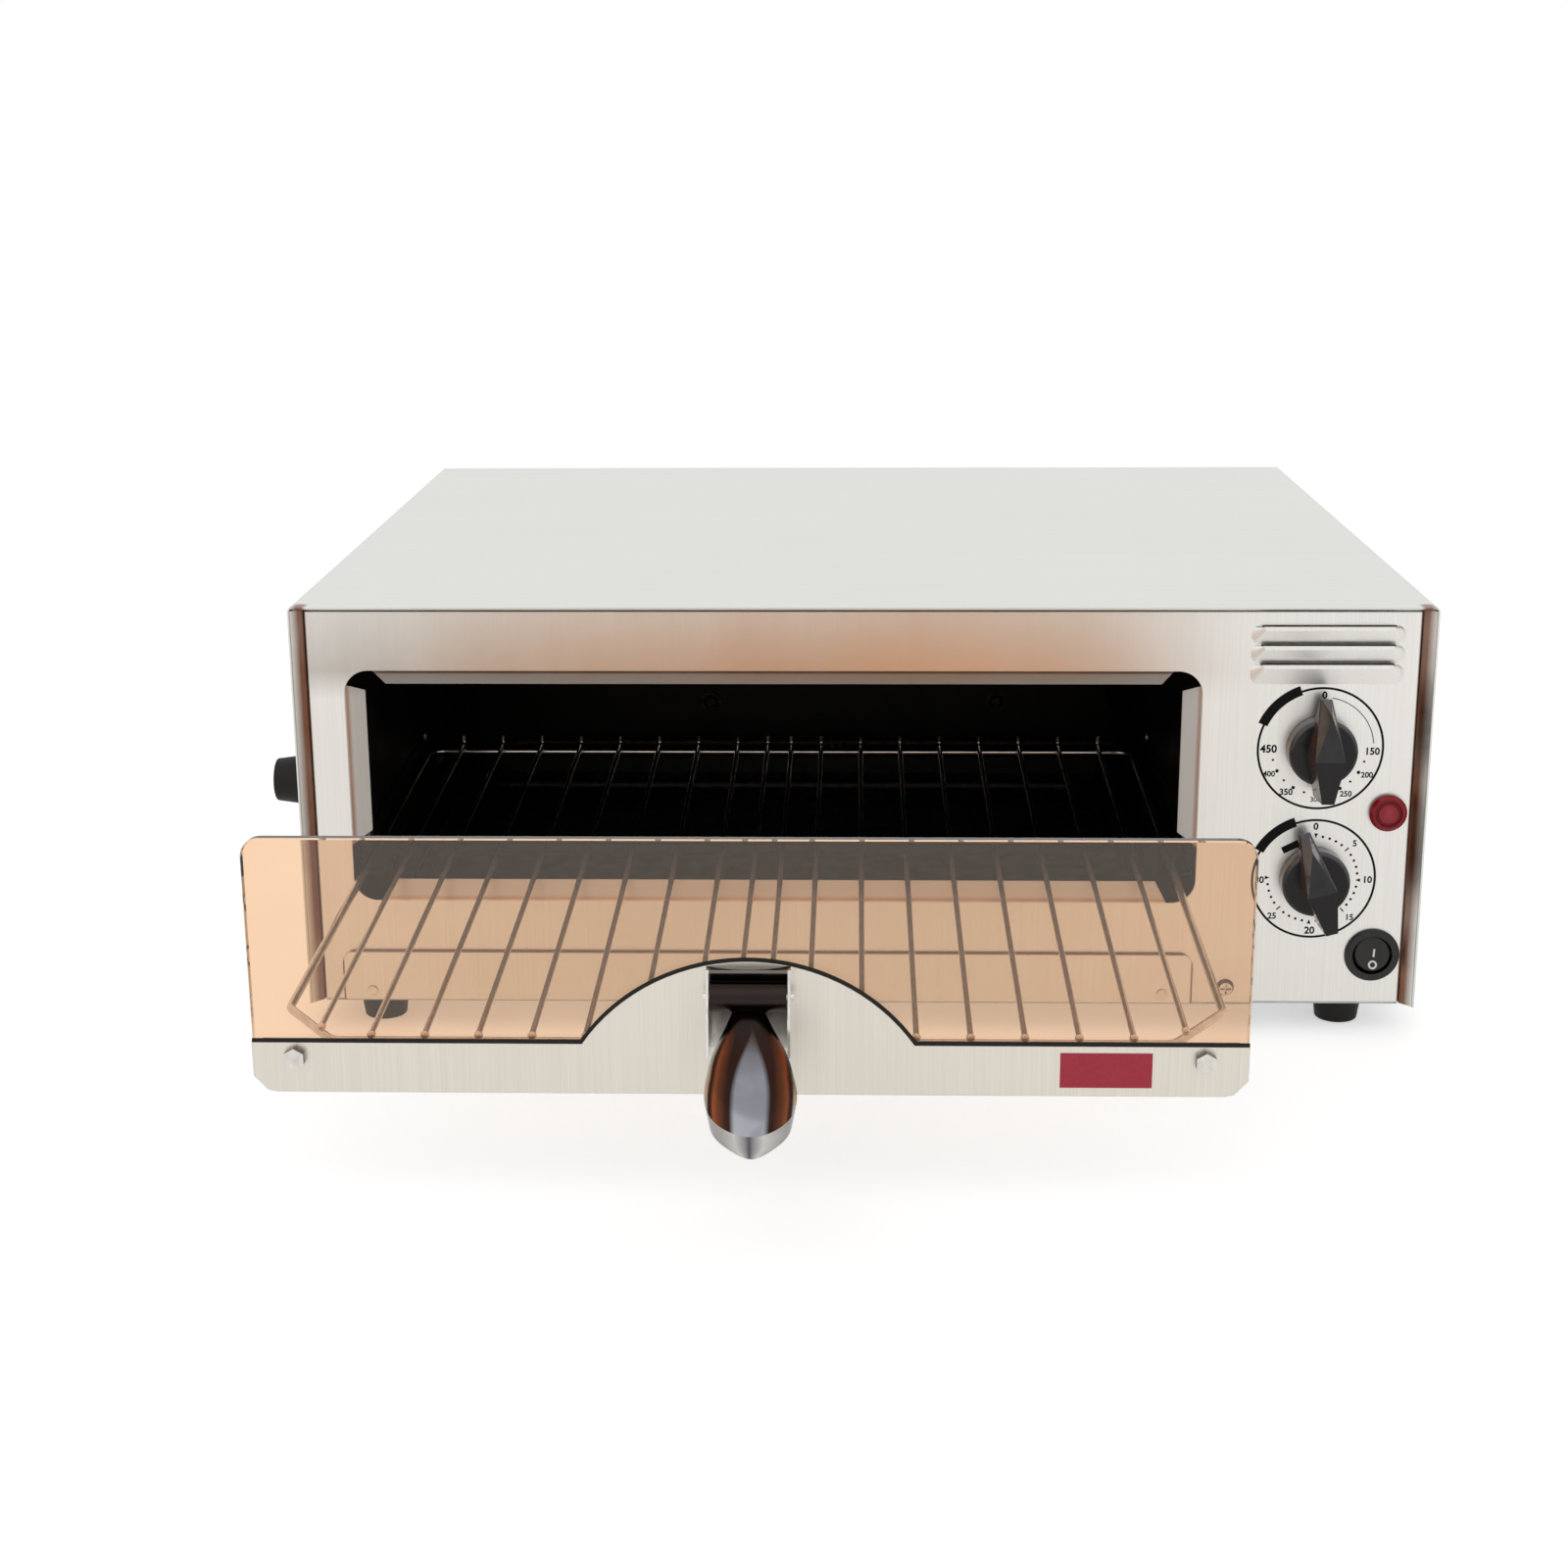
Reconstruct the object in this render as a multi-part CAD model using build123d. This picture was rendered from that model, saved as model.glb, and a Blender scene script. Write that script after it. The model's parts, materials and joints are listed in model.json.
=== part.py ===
from build123d import *
import math
import os

os.makedirs("parts", exist_ok=True)

# Countertop pizza oven: steel casing, black cavity, glass-fronted wire drawer, crumb tray and
# a column of controls.  Millimetres, +Z up, front of the casing towards -Y.
# All shapes are placed from the middle of the casing's lower front edge and are moved to the
# centre of the overall footprint, feet on z = 0, when they are written.

# ---------------------------------------------------------------- casing
case_w = 472.2
case_d = 392.0
case_h = 173.3
sheet = 0.8
cover_corner_r = 2.0
fold_depth = 5.5
fold_gap = 0.3
top_roll = 1.6
mitre_gap = 2.0
panel_recess = 4.5
panel_top_gap = 2.7
panel_bend_r = 1.1
panel_flange = 12.0
case_hw = case_w / 2
inner_hw = case_hw - sheet
roof = case_h - sheet
rear_inner = case_d - sheet
panel_hw = case_hw - fold_depth - fold_gap
panel_back = panel_recess + sheet
panel_top = case_h - panel_top_gap

# ---------------------------------------------------------------- clearances and fasteners
past = 1.0
thread_gap = 0.02
hole_gap = 0.1
seam_gap = 0.3
clear_hole_r = 2.1
tap_r = 1.68
tap_hole_r = 1.7
tap_len = 7.0
m4_r = 2.0
m4_nut_af = 7.0
m4_nut_t = 2.8

# ---------------------------------------------------------------- cavity mouth in the front panel
mouth_side = 21.1
control_column = 94.3
mouth_low = 45.4
mouth_drop = 27.8
mouth_r = 10.0
mouth_left = -case_hw + mouth_side
mouth_right = case_hw - control_column
mouth_high = case_h - mouth_drop
mouth_mid = (mouth_left + mouth_right) / 2
mouth_half = (mouth_right - mouth_left) / 2
lip_len = 10.3
lip_start = 0.2
lip_root_inset = 12.0
lip_tip_taper = 4.0
side_lip_up = 24.6
side_lip_down = 6.0

# ---------------------------------------------------------------- base pan
flange_top = 14.0
front_flange_top = 11.5
flange_start = 4.0
notch_gap = 0.6
base_vents = 6
base_vent_y = 110.0
base_vent_pitch = 30.0
base_vent_w = 6.0
base_vent_inset = 14.0

# ---------------------------------------------------------------- louvres
louvre_count = 3
louvre_margin = 12.4
louvre_w = 62.8
louvre_drop = 8.5
louvre_pitch = 8.0
louvre_h = 7.6
louvre_last_h = 8.6
louvre_out = 2.3
louvre_slit = 0.9
louvre_slit_rise = 0.1
louvre_slit_inset = 4.0
louvre_wall = 0.64
louvre_end_taper = 5.0
louvre_crest_h = 1.6
louvre_crest_drop = 0.1
louvre_base_round_share = 0.42
louvre_crest_round_share = 0.3
louvre_right = case_hw - louvre_margin
louvre_left = louvre_right - louvre_w
louvre_top = case_h - louvre_drop

# ---------------------------------------------------------------- controls
control_inset = 44.7
thermo_drop = 60.6
timer_drop = 0.45
timer_hold_deg = 15.5
shaft_r = 3.0
shaft_gap = 0.06
bushing_r = 4.8
bushing_gap = 0.2
bushing_front = 0.8
hex_nut_af = 13.0
hex_nut_t = 2.2
thermo_half_w = 18.0
thermo_half_h = 20.0
thermo_back = 37.3
timer_half = 22.0
timer_back = 39.3
shaft_seat = 7.0
tab_len = 8.0
tab_t = 0.8
lamp_inset = 15.3
lamp_rise = 0.9
lamp_r = 7.85
lamp_body_r = 6.4
lamp_body_end = 28.0
switch_inset = 18.2
switch_drop = 33.7
bezel_r = 11.6
bezel_t = 1.6
switch_body_r = 10.0
switch_body_end = 24.0
recess_r = 8.4
recess_depth = 13.5
rocker_gap = 0.3
rocker_face = 3.8
rocker_back = 2.5
rocker_pivot_y = 7.0
rocker_tilt = 10.0
rocker_pin_r = 1.2
rocker_pin_end = 0.4
panel_screw_inset = 14.5
panel_screw_z = 7.6
control_x = case_hw - control_inset
thermo_z = case_h - thermo_drop
timer_z = thermo_z / 2 - timer_drop
lamp_x = case_hw - lamp_inset
lamp_z = (thermo_z + timer_z) / 2 + lamp_rise
switch_x = case_hw - switch_inset
switch_z = timer_z - switch_drop
rocker_r = recess_r - rocker_gap
panel_screw_x = mouth_right + panel_screw_inset

# ---------------------------------------------------------------- knobs
skirt_r = 14.2
skirt_front = 8.5
skirt_wall = 2.0
skirt_round = 1.6
knob_gap = 0.8
knob_ridge = 23.0
ridge_hw = 6.2
low_tip_hw = 2.5
low_tip_reach = 17.7
low_tip_drop = 0.2
apex_reach = 19.0
apex_drop = 0.6
top_tip_hw = 1.8
top_tip_reach = 22.7
top_tip_h = 7.4
flank_spread = 0.7
hub_r = 5.2

# ---------------------------------------------------------------- cavity liner
liner_rise = 6.5
liner_rear_gap = 35.2
liner_flange = 7.0
partition_gap = 8.1
partition_foot = 9.0
blanket_t = 13.0
blanket_front = 16.0
wall_screw_left = 46.6
wall_screw_right = 114.1
rear_screw_z = 46.2
liner_left = mouth_left - sheet
liner_right = mouth_right + sheet
liner_top = mouth_high + liner_rise
liner_rear = rear_inner - liner_rear_gap
partition_x = liner_right + partition_gap
rear_screw_x = (mouth_mid - wall_screw_left, mouth_mid + wall_screw_right)
spacer_r = 4.5
washer_r = 5.6
washer_t = 0.9
wall_screw_reach = 3.2

# ---------------------------------------------------------------- drawer line
slope_deg = 2.7
rack_shift = -2.5
rack_side_gap = 5.2
rack_rear_gap = 13.3
rack_front_y = -159.7
rack_rise = 1.6
rack_chamfer_x = 21.5
rack_chamfer_y = 28.6
rack_bend = 7.0
frame_wire_r = 1.6
long_wire_r = 1.15
wire_pitch = 19.45
wire_inner = 20.6
wire_centre = 5.82
wire_margin = 14.0
wire_tip_rise = 5.0
wire_tip_reach = 3.5
weld = 0.35
weld_bead = 0.5
glide_gap = 0.2
rack_x = mouth_mid + rack_shift
rack_hw = mouth_half - rack_side_gap
rack_len = liner_rear - rack_rear_gap
rack_front_z = mouth_low + rack_rise
clip_reach = 110.0
saddle_t = 0.8
saddle_hw = 5.0

# ---------------------------------------------------------------- rack guides
guide_w = 10.5
guide_t = 0.8
guide_leg = 11.0
guide_front = 20.0
guide_rear_gap = 6.0
guide_rivet_inset = 20.0
guide_rivet_r = 1.8
guide_rivet_up = 7.2
guide_rivet_head = 1.1
guide_rivet_head_t = 0.9
guide_rear = liner_rear - guide_rear_gap

# ---------------------------------------------------------------- drawer front
clamp_t = 1.2
clamp_inset = 3.0
clamp_top = 48.6
clamp_low = 32.6
glass_t = 4.0
glass_overlap = 0.1
glass_top = 124.9
glass_low = 36.5
glass_corner = 7.0
glass_edge = 0.5
band_t = 1.2
band_top = 48.6
band_low = 29.7
band_corner_x = 8.4
band_corner_z = 6.2
band_nick_x = 5.0
band_nick_z = 0.7
dome_half = 59.5
dome_rise = 31.5
door_shift = -3.25
bolt_inset = 15.5
bolt_z = 43.2
bolt_head_af = 7.0
bolt_head_t = 2.8
bolt_glass_gap = 0.6
door_nut_t = 2.4
bolt_end = 0.3
sticker_inset = 34.35
sticker_w = 32.8
sticker_low = 33.0
sticker_h = 13.2
sticker_t = 0.2
door_x = mouth_mid + door_shift
glass_hw = mouth_half + glass_overlap

# ---------------------------------------------------------------- handle
handle_shift = 0.55
bracket_w = 29.8
bracket_h = 30.5
bracket_top = 78.6
bracket_t = 1.0
bracket_top_depth = 4.5
bracket_depth = 11.0
bracket_full_h = 12.0
grip_pin_r = 1.3
grip_pin_out = 5.0
grip_pin_z = 69.0
grip_pin_end = 1.2
grip_hub_r = 5.5
grip_side_gap = 0.3
grip_slope = 30.0
grip_swing = 3.4
grip_top_z = 70.0
grip_thick = 12.5
grip_crown = 3.4
grip_tip = 61.4
grip_keel_tip = 64.0
grip_middle = 33.0
neck_hw = 5.0
neck_len = 6.5
neck_low = 56.0
neck_high = 69.5
handle_screw_z = 61.0
handle_screw_len = 9.0
handle_screw_head_r = 4.2
handle_screw_head_t = 2.2
handle_x = door_x + handle_shift

# ---------------------------------------------------------------- crumb tray
flap_over_left = 6.7
flap_over_right = 0.3
flap_low = 0.9
flap_top = 23.0
flap_t = 1.0
flap_gap = 0.3
flap_corner = 6.0
tray_inset_left = 2.1
tray_inset_right = 8.9
tray_h = 10.0
tray_rear_gap = 11.8
tray_slot_gap = 2.3
tray_glide = 0.2
tray_wall_low = 1.3
tray_rivet_inset = 3.4
tray_rivet_z = 4.6
tray_rivet_r = 2.4
tray_rivet_shank_r = 1.58
runner_h = 6.2
runner_w = 10.0
runner_inset = 32.0
runner_front_gap = 4.0
flap_left = mouth_left - flap_over_left
flap_right = mouth_right + flap_over_right
tray_left = mouth_left + tray_inset_left
tray_right = mouth_right - tray_inset_right
tray_back = liner_rear - tray_rear_gap
tray_low = sheet + runner_h + tray_glide
slot_top = tray_low + tray_h + tray_slot_gap

# ---------------------------------------------------------------- heating elements
element_r = 3.25
element_bend = 18.0
lower_z = 27.0
upper_drop = 11.0
element_rear_gap = 18.0
element_front = 52.0
element_loop = 88.0
element_left_gap = 14.1
element_right_gap = 20.9
element_past_shield = 6.2
bead_r = 4.2
bead_len = 5.0
collar_r = 6.5
collar_t = 1.4
stud_rod_r = 1.58
stud_len = 11.0
clip_t = 1.0
clip_hw = 8.0
clip_teeth = 4
clip_tooth_pitch = 4.6
clip_tooth_hw = 1.1
clip_tooth_h = 4.5
clip_wall_h = 14.0
rear_clip_shift = 24.3
arm_hw = 6.0
arm_hook_h = 3.0
arm_wall_h = 12.0
hook_hw = 5.0
hook_foot = 8.0
hook_reach = 75.0
upper_z = liner_top - upper_drop
element_left = mouth_left + element_left_gap
element_turn = mouth_right - element_right_gap
element_end = partition_x + element_past_shield
element_rear = liner_rear - element_rear_gap
element_rows = (element_rear, element_rear - element_loop, element_front + element_loop, element_front)

# ---------------------------------------------------------------- temperature bulb
bulb_inset = 6.5
bulb_r = 3.0
bulb_drop = 22.0
bulb_front = 100.0
bulb_len = 90.0
bulb_clip_inset = 15.0
bulb_clip_hw = 4.0
bulb_clip_t = 0.8
capillary_r = 0.8
capillary_y = 85.0
capillary_bend = 4.0
capillary_hole_r = 1.6
bulb_x = liner_right - bulb_inset
bulb_z = liner_top - bulb_drop

# ---------------------------------------------------------------- wiring
wire_r = 1.3
wire_bend = 6.0
wire_run_z = 7.0
block_inset = 70.0
block_len = 20.0
block_top = 17.0
block_wall = 6.0
way_pitch = 10.0
way_count = 4
well_r = 2.2
gland_inset = 37.0
gland_x = case_hw - gland_inset
gland_z = 32.0
gland_r = 7.8
gland_nut_r = 9.4
gland_flange_r = 11.0
gland_flange_t = 3.0
gland_bore_r = 4.3
gland_out = 9.0
gland_in = 8.0
block_y = case_d - block_inset

# ---------------------------------------------------------------- rear
rear_vent_rows = 7
rear_vent_pitch = 9.0
rear_vent_h = 3.0
rear_vent_hw = 30.0
rear_vent_step = 90.0
rear_vent_drop = 23.3
control_vent_hw = 22.0
rear_fix_z = 8.0
rear_fix_left = 45.0
rear_fix_shift = 36.6
rear_fix_right = 24.3

# ---------------------------------------------------------------- feet, bumpers, cover screws
foot_h = 13.0
foot_r = 10.8
foot_tip_r = 9.0
foot_round = 0.8
foot_side = 28.0
foot_end = 24.0
foot_dimple_r = 4.6
foot_dimple_t = 0.7
stud_reach = 7.0
bumper_z = 94.2
bumper_end = 20.0
cover_screw_end = 60.0
cover_screw_z = 8.0
foot_x = case_hw - foot_side
foot_y = (foot_end, case_d - foot_end)
bumper_y = (bumper_end, case_d - bumper_end)
cover_screw_y = (cover_screw_end, case_d / 2, case_d - cover_screw_end)

nodes = {}


def block(x0, x1, y0, y1, z0, z1):
    return Pos((x0 + x1) / 2, (y0 + y1) / 2, (z0 + z1) / 2) * Box(x1 - x0, y1 - y0, z1 - z0)


def rod_x(r, y, z, x0, x1):
    return Pos((x0 + x1) / 2, y, z) * Rot(0, 90, 0) * Cylinder(r, abs(x1 - x0))


def rod_y(r, x, z, y0, y1):
    return Pos(x, (y0 + y1) / 2, z) * Rot(90, 0, 0) * Cylinder(r, y1 - y0)


def rod_z(r, x, y, z0, z1):
    return Pos(x, y, (z0 + z1) / 2) * Cylinder(r, z1 - z0)


def hex_y(af, x, z, y0, y1):
    return extrude(Plane((x, y1, z), z_dir=(0, -1, 0)) * RegularPolygon(af / math.sqrt(3), 6), y1 - y0)


def hex_z(af, x, y, z0, z1):
    return extrude(Plane((x, y, z0)) * RegularPolygon(af / math.sqrt(3), 6), z1 - z0)


def rounded_plate_y(x0, x1, z0, z1, r, y0, y1):
    plane = Plane(((x0 + x1) / 2, y1, (z0 + z1) / 2), x_dir=(1, 0, 0), z_dir=(0, -1, 0))
    return extrude(plane * RectangleRounded(x1 - x0, z1 - z0, r), y1 - y0)


def bent_path(points, r):
    # straight runs joined by tangent arcs of radius r
    vectors = [Vector(*p) for p in points]
    edges = []
    start = vectors[0]
    for before, corner, after in zip(vectors, vectors[1:], vectors[2:]):
        u = (before - corner).normalized()
        w = (after - corner).normalized()
        half = math.radians(u.get_angle(w)) / 2
        cut = r / math.tan(half)
        p = corner + u * cut
        q = corner + w * cut
        centre = corner + (u + w).normalized() * (r / math.sin(half))
        mid = centre - (u + w).normalized() * r
        edges.append(Line(start, p))
        edges.append(ThreePointArc(p, mid, q))
        start = q
    edges.append(Line(start, vectors[-1]))
    return Wire(edges)


def bar(points, r, bend):
    path = bent_path(points, bend)
    return sweep(Plane(origin=path @ 0, z_dir=path % 0) * Circle(r), path=path)


def polyhedron(points, faces):
    sides = [Face(Wire.make_polygon([points[i] for i in f], close=True)) for f in faces]
    return Solid(Shell(sides))


def pan_screw_y(x, z, seat, tip, r=m4_r, head_r=3.8, head_t=2.2):
    # domed head in front of the seat, cross slot, shank running back to the tip
    slot_hw = 0.4
    slot_reach = head_r * 0.58
    slot_y = seat - head_t / 2
    head = Pos(x, seat, z) * Rot(90, 0, 0) * Cone(head_r, head_r * 0.72, head_t,
                                                 align=(Align.CENTER, Align.CENTER, Align.MIN))
    slot_a = block(x - slot_reach, x + slot_reach, seat - head_t - past, slot_y, z - slot_hw, z + slot_hw)
    slot_b = block(x - slot_hw, x + slot_hw, seat - head_t - past, slot_y, z - slot_reach, z + slot_reach)
    return head + rod_y(r, x, z, seat, tip) - slot_a - slot_b


# ================================================================ outer casing
def tunnel(hw, y0, y1, z0, top, r):
    shape = block(-hw, hw, y0, y1, z0, top)
    return fillet(shape.edges().filter_by(Axis.Y).group_by(Axis.Z)[-1], r)


cover = tunnel(case_hw, 0, case_d, 0, case_h, cover_corner_r)
cover -= tunnel(inner_hw, -past, case_d + past, -past, roof, cover_corner_r - sheet)
fold_t = sheet * math.sqrt(2)
fold_tip = case_hw - fold_depth
for side in (-1, 1):
    fold = Polyline((side * case_hw, 0), (side * fold_tip, fold_depth),
                    (side * (fold_tip + sheet), fold_depth + sheet),
                    (side * (case_hw - sheet / 2), fold_t + sheet / 2),
                    (side * case_hw, fold_t), close=True)
    cover += extrude(make_face(fold), roof - mitre_gap / 2)
roll = Polyline((0, case_h), (top_roll, case_h - top_roll), (top_roll + sheet, case_h - top_roll + sheet),
                (fold_t, case_h), close=True)
roll_face = Plane((-case_hw + mitre_gap, 0, 0), x_dir=(0, 1, 0), z_dir=(1, 0, 0)) * make_face(roll)
cover += extrude(roll_face, case_w - 2 * mitre_gap)
for y in cover_screw_y:
    cover -= rod_x(clear_hole_r, y, cover_screw_z, -case_hw - past, case_hw + past)
for y in bumper_y:
    cover -= rod_x(m4_r + hole_gap, y, bumper_z, -case_hw - past, -inner_hw + past)
nodes["wrap_cover"] = cover

# front panel: a tray-shaped sheet with the cavity mouth, louvres and control holes
panel_end = panel_recess + panel_flange
panel = block(-panel_hw, panel_hw, panel_recess, panel_end, sheet, panel_top)
panel = fillet(panel.edges().filter_by(Axis.Z).group_by(Axis.Y)[0], panel_bend_r)
hollow = block(-panel_hw + sheet, panel_hw - sheet, panel_back, panel_end + past, 0, panel_top - sheet)
hollow = fillet(hollow.edges().filter_by(Axis.Z).group_by(Axis.Y)[0], panel_bend_r - sheet)
panel -= hollow
panel -= rounded_plate_y(mouth_left, mouth_right, mouth_low, mouth_high, mouth_r, 0, panel_end)


def panel_hole(r, x, z):
    return rod_y(r, x, z, 0, panel_end)


def lip(origin, along, inward, root):
    # a flat tab that leaves the panel at 45 degrees towards the cavity and the mouth's middle
    tip = root - lip_tip_taper
    plane = Plane(origin=origin, x_dir=along, z_dir=Vector(*along).cross(Vector(*inward)))
    outline = Polyline((-root, 0), (root, 0), (tip, lip_len), (-tip, lip_len), close=True)
    return extrude(plane * make_face(outline), -sheet)


s45 = math.sqrt(0.5)
lip_y = panel_recess + lip_start
side_lip_low = mouth_low + side_lip_up
side_lip_high = mouth_high - side_lip_down
side_mid = (side_lip_low + side_lip_high) / 2
side_root = (side_lip_high - side_lip_low) / 2
panel += lip((mouth_mid, lip_y, mouth_low), (1, 0, 0), (0, s45, s45), mouth_half - lip_root_inset)
panel += lip((mouth_mid, lip_y, mouth_high), (-1, 0, 0), (0, s45, -s45), mouth_half - lip_root_inset)
panel += lip((mouth_left, lip_y, side_mid), (0, 0, -1), (s45, s45, 0), side_root)
panel += lip((mouth_right, lip_y, side_mid), (0, 0, 1), (-s45, s45, 0), side_root)


def louvre_body(z_top, z_low, inset, y_base):
    # hood: full outline at y_base, rising to a narrow crest just under its top edge
    wide = louvre_w - 2 * inset
    high = z_top - z_low - 2 * inset
    mid_x = (louvre_left + louvre_right) / 2
    crest_z = z_top - inset - louvre_crest_drop - louvre_crest_h / 2
    crest_y = panel_recess - louvre_out + inset
    base = Plane((mid_x, y_base, (z_top + z_low) / 2), x_dir=(1, 0, 0), z_dir=(0, -1, 0))
    crest = Plane((mid_x, crest_y, crest_z), x_dir=(1, 0, 0), z_dir=(0, -1, 0))
    return loft([base * RectangleRounded(wide, high, high * louvre_base_round_share),
                 crest * RectangleRounded(wide - 2 * louvre_end_taper, louvre_crest_h,
                                          louvre_crest_h * louvre_crest_round_share)])


for i in range(louvre_count):
    z_top = louvre_top - i * louvre_pitch
    z_low = z_top - (louvre_last_h if i == louvre_count - 1 else louvre_h)
    panel += louvre_body(z_top, z_low, 0, panel_recess)
    panel -= louvre_body(z_top, z_low, louvre_wall, panel_back + panel_bend_r / 2)
    panel -= block(louvre_left + louvre_slit_inset, louvre_right - louvre_slit_inset,
                   panel_recess - louvre_out + louvre_wall, panel_back,
                   z_top - louvre_slit, z_top + louvre_slit_rise)
for z in (thermo_z, timer_z):
    panel -= panel_hole(bushing_r + bushing_gap, control_x, z)
panel -= panel_hole(lamp_body_r + hole_gap, lamp_x, lamp_z)
panel -= panel_hole(switch_body_r + hole_gap, switch_x, switch_z)
panel -= panel_hole(clear_hole_r, panel_screw_x, panel_screw_z)
panel -= block(tray_left - tray_slot_gap, tray_right + tray_slot_gap, 0, panel_end + past, 0, slot_top)
nodes["front_panel"] = panel

# base pan
base = block(-inner_hw, inner_hw, panel_recess, rear_inner, 0, sheet)
notch_y = fold_depth + sheet + notch_gap
for side in (-1, 1):
    x0, x1 = sorted((side * (inner_hw + past), side * (panel_hw - sheet / 2)))
    base -= block(x0, x1, 0, notch_y, -past, sheet + past)
    x0, x1 = sorted((side * inner_hw, side * (inner_hw - sheet)))
    base += block(x0, x1, fold_depth + flange_start, rear_inner, 0, flange_top)
base += block(-inner_hw, inner_hw, rear_inner - sheet, rear_inner, 0, flange_top)
front_tab_y = (panel_back, panel_back + sheet)
tab_side = panel_hw - 3 * sheet
base += block(liner_right + sheet + notch_gap, tab_side, *front_tab_y, 0, front_flange_top)
base += block(-tab_side, liner_left - sheet - notch_gap, *front_tab_y, 0, front_flange_top)
base -= panel_hole(tap_hole_r, panel_screw_x, panel_screw_z)
for y in cover_screw_y:
    base -= rod_x(tap_hole_r, y, cover_screw_z, -case_hw, case_hw)
for x in (-foot_x, foot_x):
    for y in foot_y:
        base -= rod_z(m4_r + hole_gap, x, y, -past, sheet + past)
for i in range(base_vents):
    y = base_vent_y + i * base_vent_pitch
    base -= block(partition_x + base_vent_inset, inner_hw - base_vent_inset, y, y + base_vent_w,
                  -past, sheet + past)


# rear panel with vent slots and the cord gland's hole
def rear_hole(r, x, z):
    return rod_y(r, x, z, rear_inner - past, case_d + past)


rear = tunnel(inner_hw, rear_inner, case_d, 0, roof, cover_corner_r - sheet)
vent_columns = [(mouth_mid + k * rear_vent_step, rear_vent_hw) for k in (-1, 0, 1)]
vent_columns.append((control_x, control_vent_hw))
for i in range(rear_vent_rows):
    z = case_h - rear_vent_drop - i * rear_vent_pitch
    for x, hw in vent_columns:
        rear -= block(x - hw, x + hw, rear_inner - past, case_d + past, z, z + rear_vent_h)
rear -= rear_hole(gland_r + hole_gap, gland_x, gland_z)
rear_fix_x = (-case_hw + rear_fix_left, mouth_mid + rear_fix_shift, control_x - rear_fix_right)
for x in rear_fix_x:
    rear -= rear_hole(clear_hole_r, x, rear_fix_z)
    base -= rod_y(tap_hole_r, x, rear_fix_z, rear_inner - sheet - past, rear_inner + past)
for x in rear_screw_x:
    rear -= rear_hole(clear_hole_r, x, rear_screw_z)
nodes["base_pan"] = base
nodes["rear_panel"] = rear

# ================================================================ cavity
terminal_spots = [(y, z) for z in (lower_z, upper_z) for y in (element_rear, element_front)]
rim_low = flange_top + past
rim_top = liner_top + sheet + liner_flange
rim_y = (panel_back, panel_back + sheet)
liner = block(liner_left - sheet, liner_right + sheet, panel_back, liner_rear + sheet,
              sheet, liner_top + sheet)
liner -= block(liner_left, liner_right, 0, liner_rear + sheet + past, 0, liner_top)
liner += block(liner_left - sheet - liner_flange, liner_left, *rim_y, rim_low, rim_top)
liner += block(liner_right, partition_x - seam_gap, *rim_y, rim_low, rim_top)
liner += block(liner_left, liner_right, *rim_y, liner_top, rim_top)
for y, z in terminal_spots:
    liner -= rod_x(element_r + hole_gap, y, z, liner_right - past, liner_right + sheet + past)
liner -= rod_x(capillary_hole_r, capillary_y, bulb_z, liner_right - past, liner_right + sheet + past)

back = block(liner_left, liner_right, liner_rear, liner_rear + sheet, sheet, liner_top)
for x in rear_screw_x:
    back -= rod_y(clear_hole_r, x, rear_screw_z, liner_rear - past, liner_rear + sheet + past)
nodes["liner_back"] = back

spacers = []
wall_screws = []
wall_washers = []
spacer_y = liner_rear + sheet
for x in rear_screw_x:
    spacers.append(rod_y(spacer_r, x, rear_screw_z, spacer_y, rear_inner)
                   - rod_y(clear_hole_r, x, rear_screw_z, spacer_y - past, rear_inner + past))
    wall_washers.append(rod_y(washer_r, x, rear_screw_z, liner_rear - washer_t, liner_rear)
                        - rod_y(clear_hole_r, x, rear_screw_z, liner_rear - 2 * past, liner_rear + past))
    wall_screws.append(pan_screw_y(x, rear_screw_z, liner_rear - washer_t, case_d + wall_screw_reach))
nodes["rear_spacers"] = Compound(spacers)
nodes["wall_washers"] = Compound(wall_washers)
nodes["wall_screws"] = Compound(wall_screws)

# heat shield between the cavity and the control bay, cut away round the base pan's flanges
foot_start = blanket_front + liner_flange
shield_x = (partition_x - past, partition_x + partition_foot + past)
shield = block(partition_x, partition_x + sheet, panel_back + sheet + glide_gap, rear_inner, sheet, roof)
shield += block(partition_x, partition_x + partition_foot, foot_start, rear_inner - liner_flange,
                sheet, 2 * sheet)
shield -= block(*shield_x, panel_back, foot_start, 0, flange_top + seam_gap)
shield -= block(*shield_x, rear_inner - sheet - glide_gap, rear_inner + past, 0, flange_top + seam_gap)
shield -= block(*shield_x, 0, panel_end + 2 * seam_gap, panel_top - sheet - 2 * seam_gap, case_h)
for y, z in terminal_spots:
    shield -= rod_x(2 * element_r, y, z, partition_x - past, partition_x + sheet + past)
shield -= rod_x(2 * capillary_hole_r, capillary_y, bulb_z, partition_x - past, partition_x + sheet + past)
nodes["heat_shield"] = shield

blanket_z = liner_top + sheet
nodes["insulation_blanket"] = block(liner_left, liner_right, blanket_front, liner_rear,
                                    blanket_z, blanket_z + blanket_t)

# ================================================================ rack guides on the side walls
tilt = math.radians(slope_deg)


def rack_line(y):
    return rack_front_z + (y - rack_front_y) * math.tan(tilt)


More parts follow.
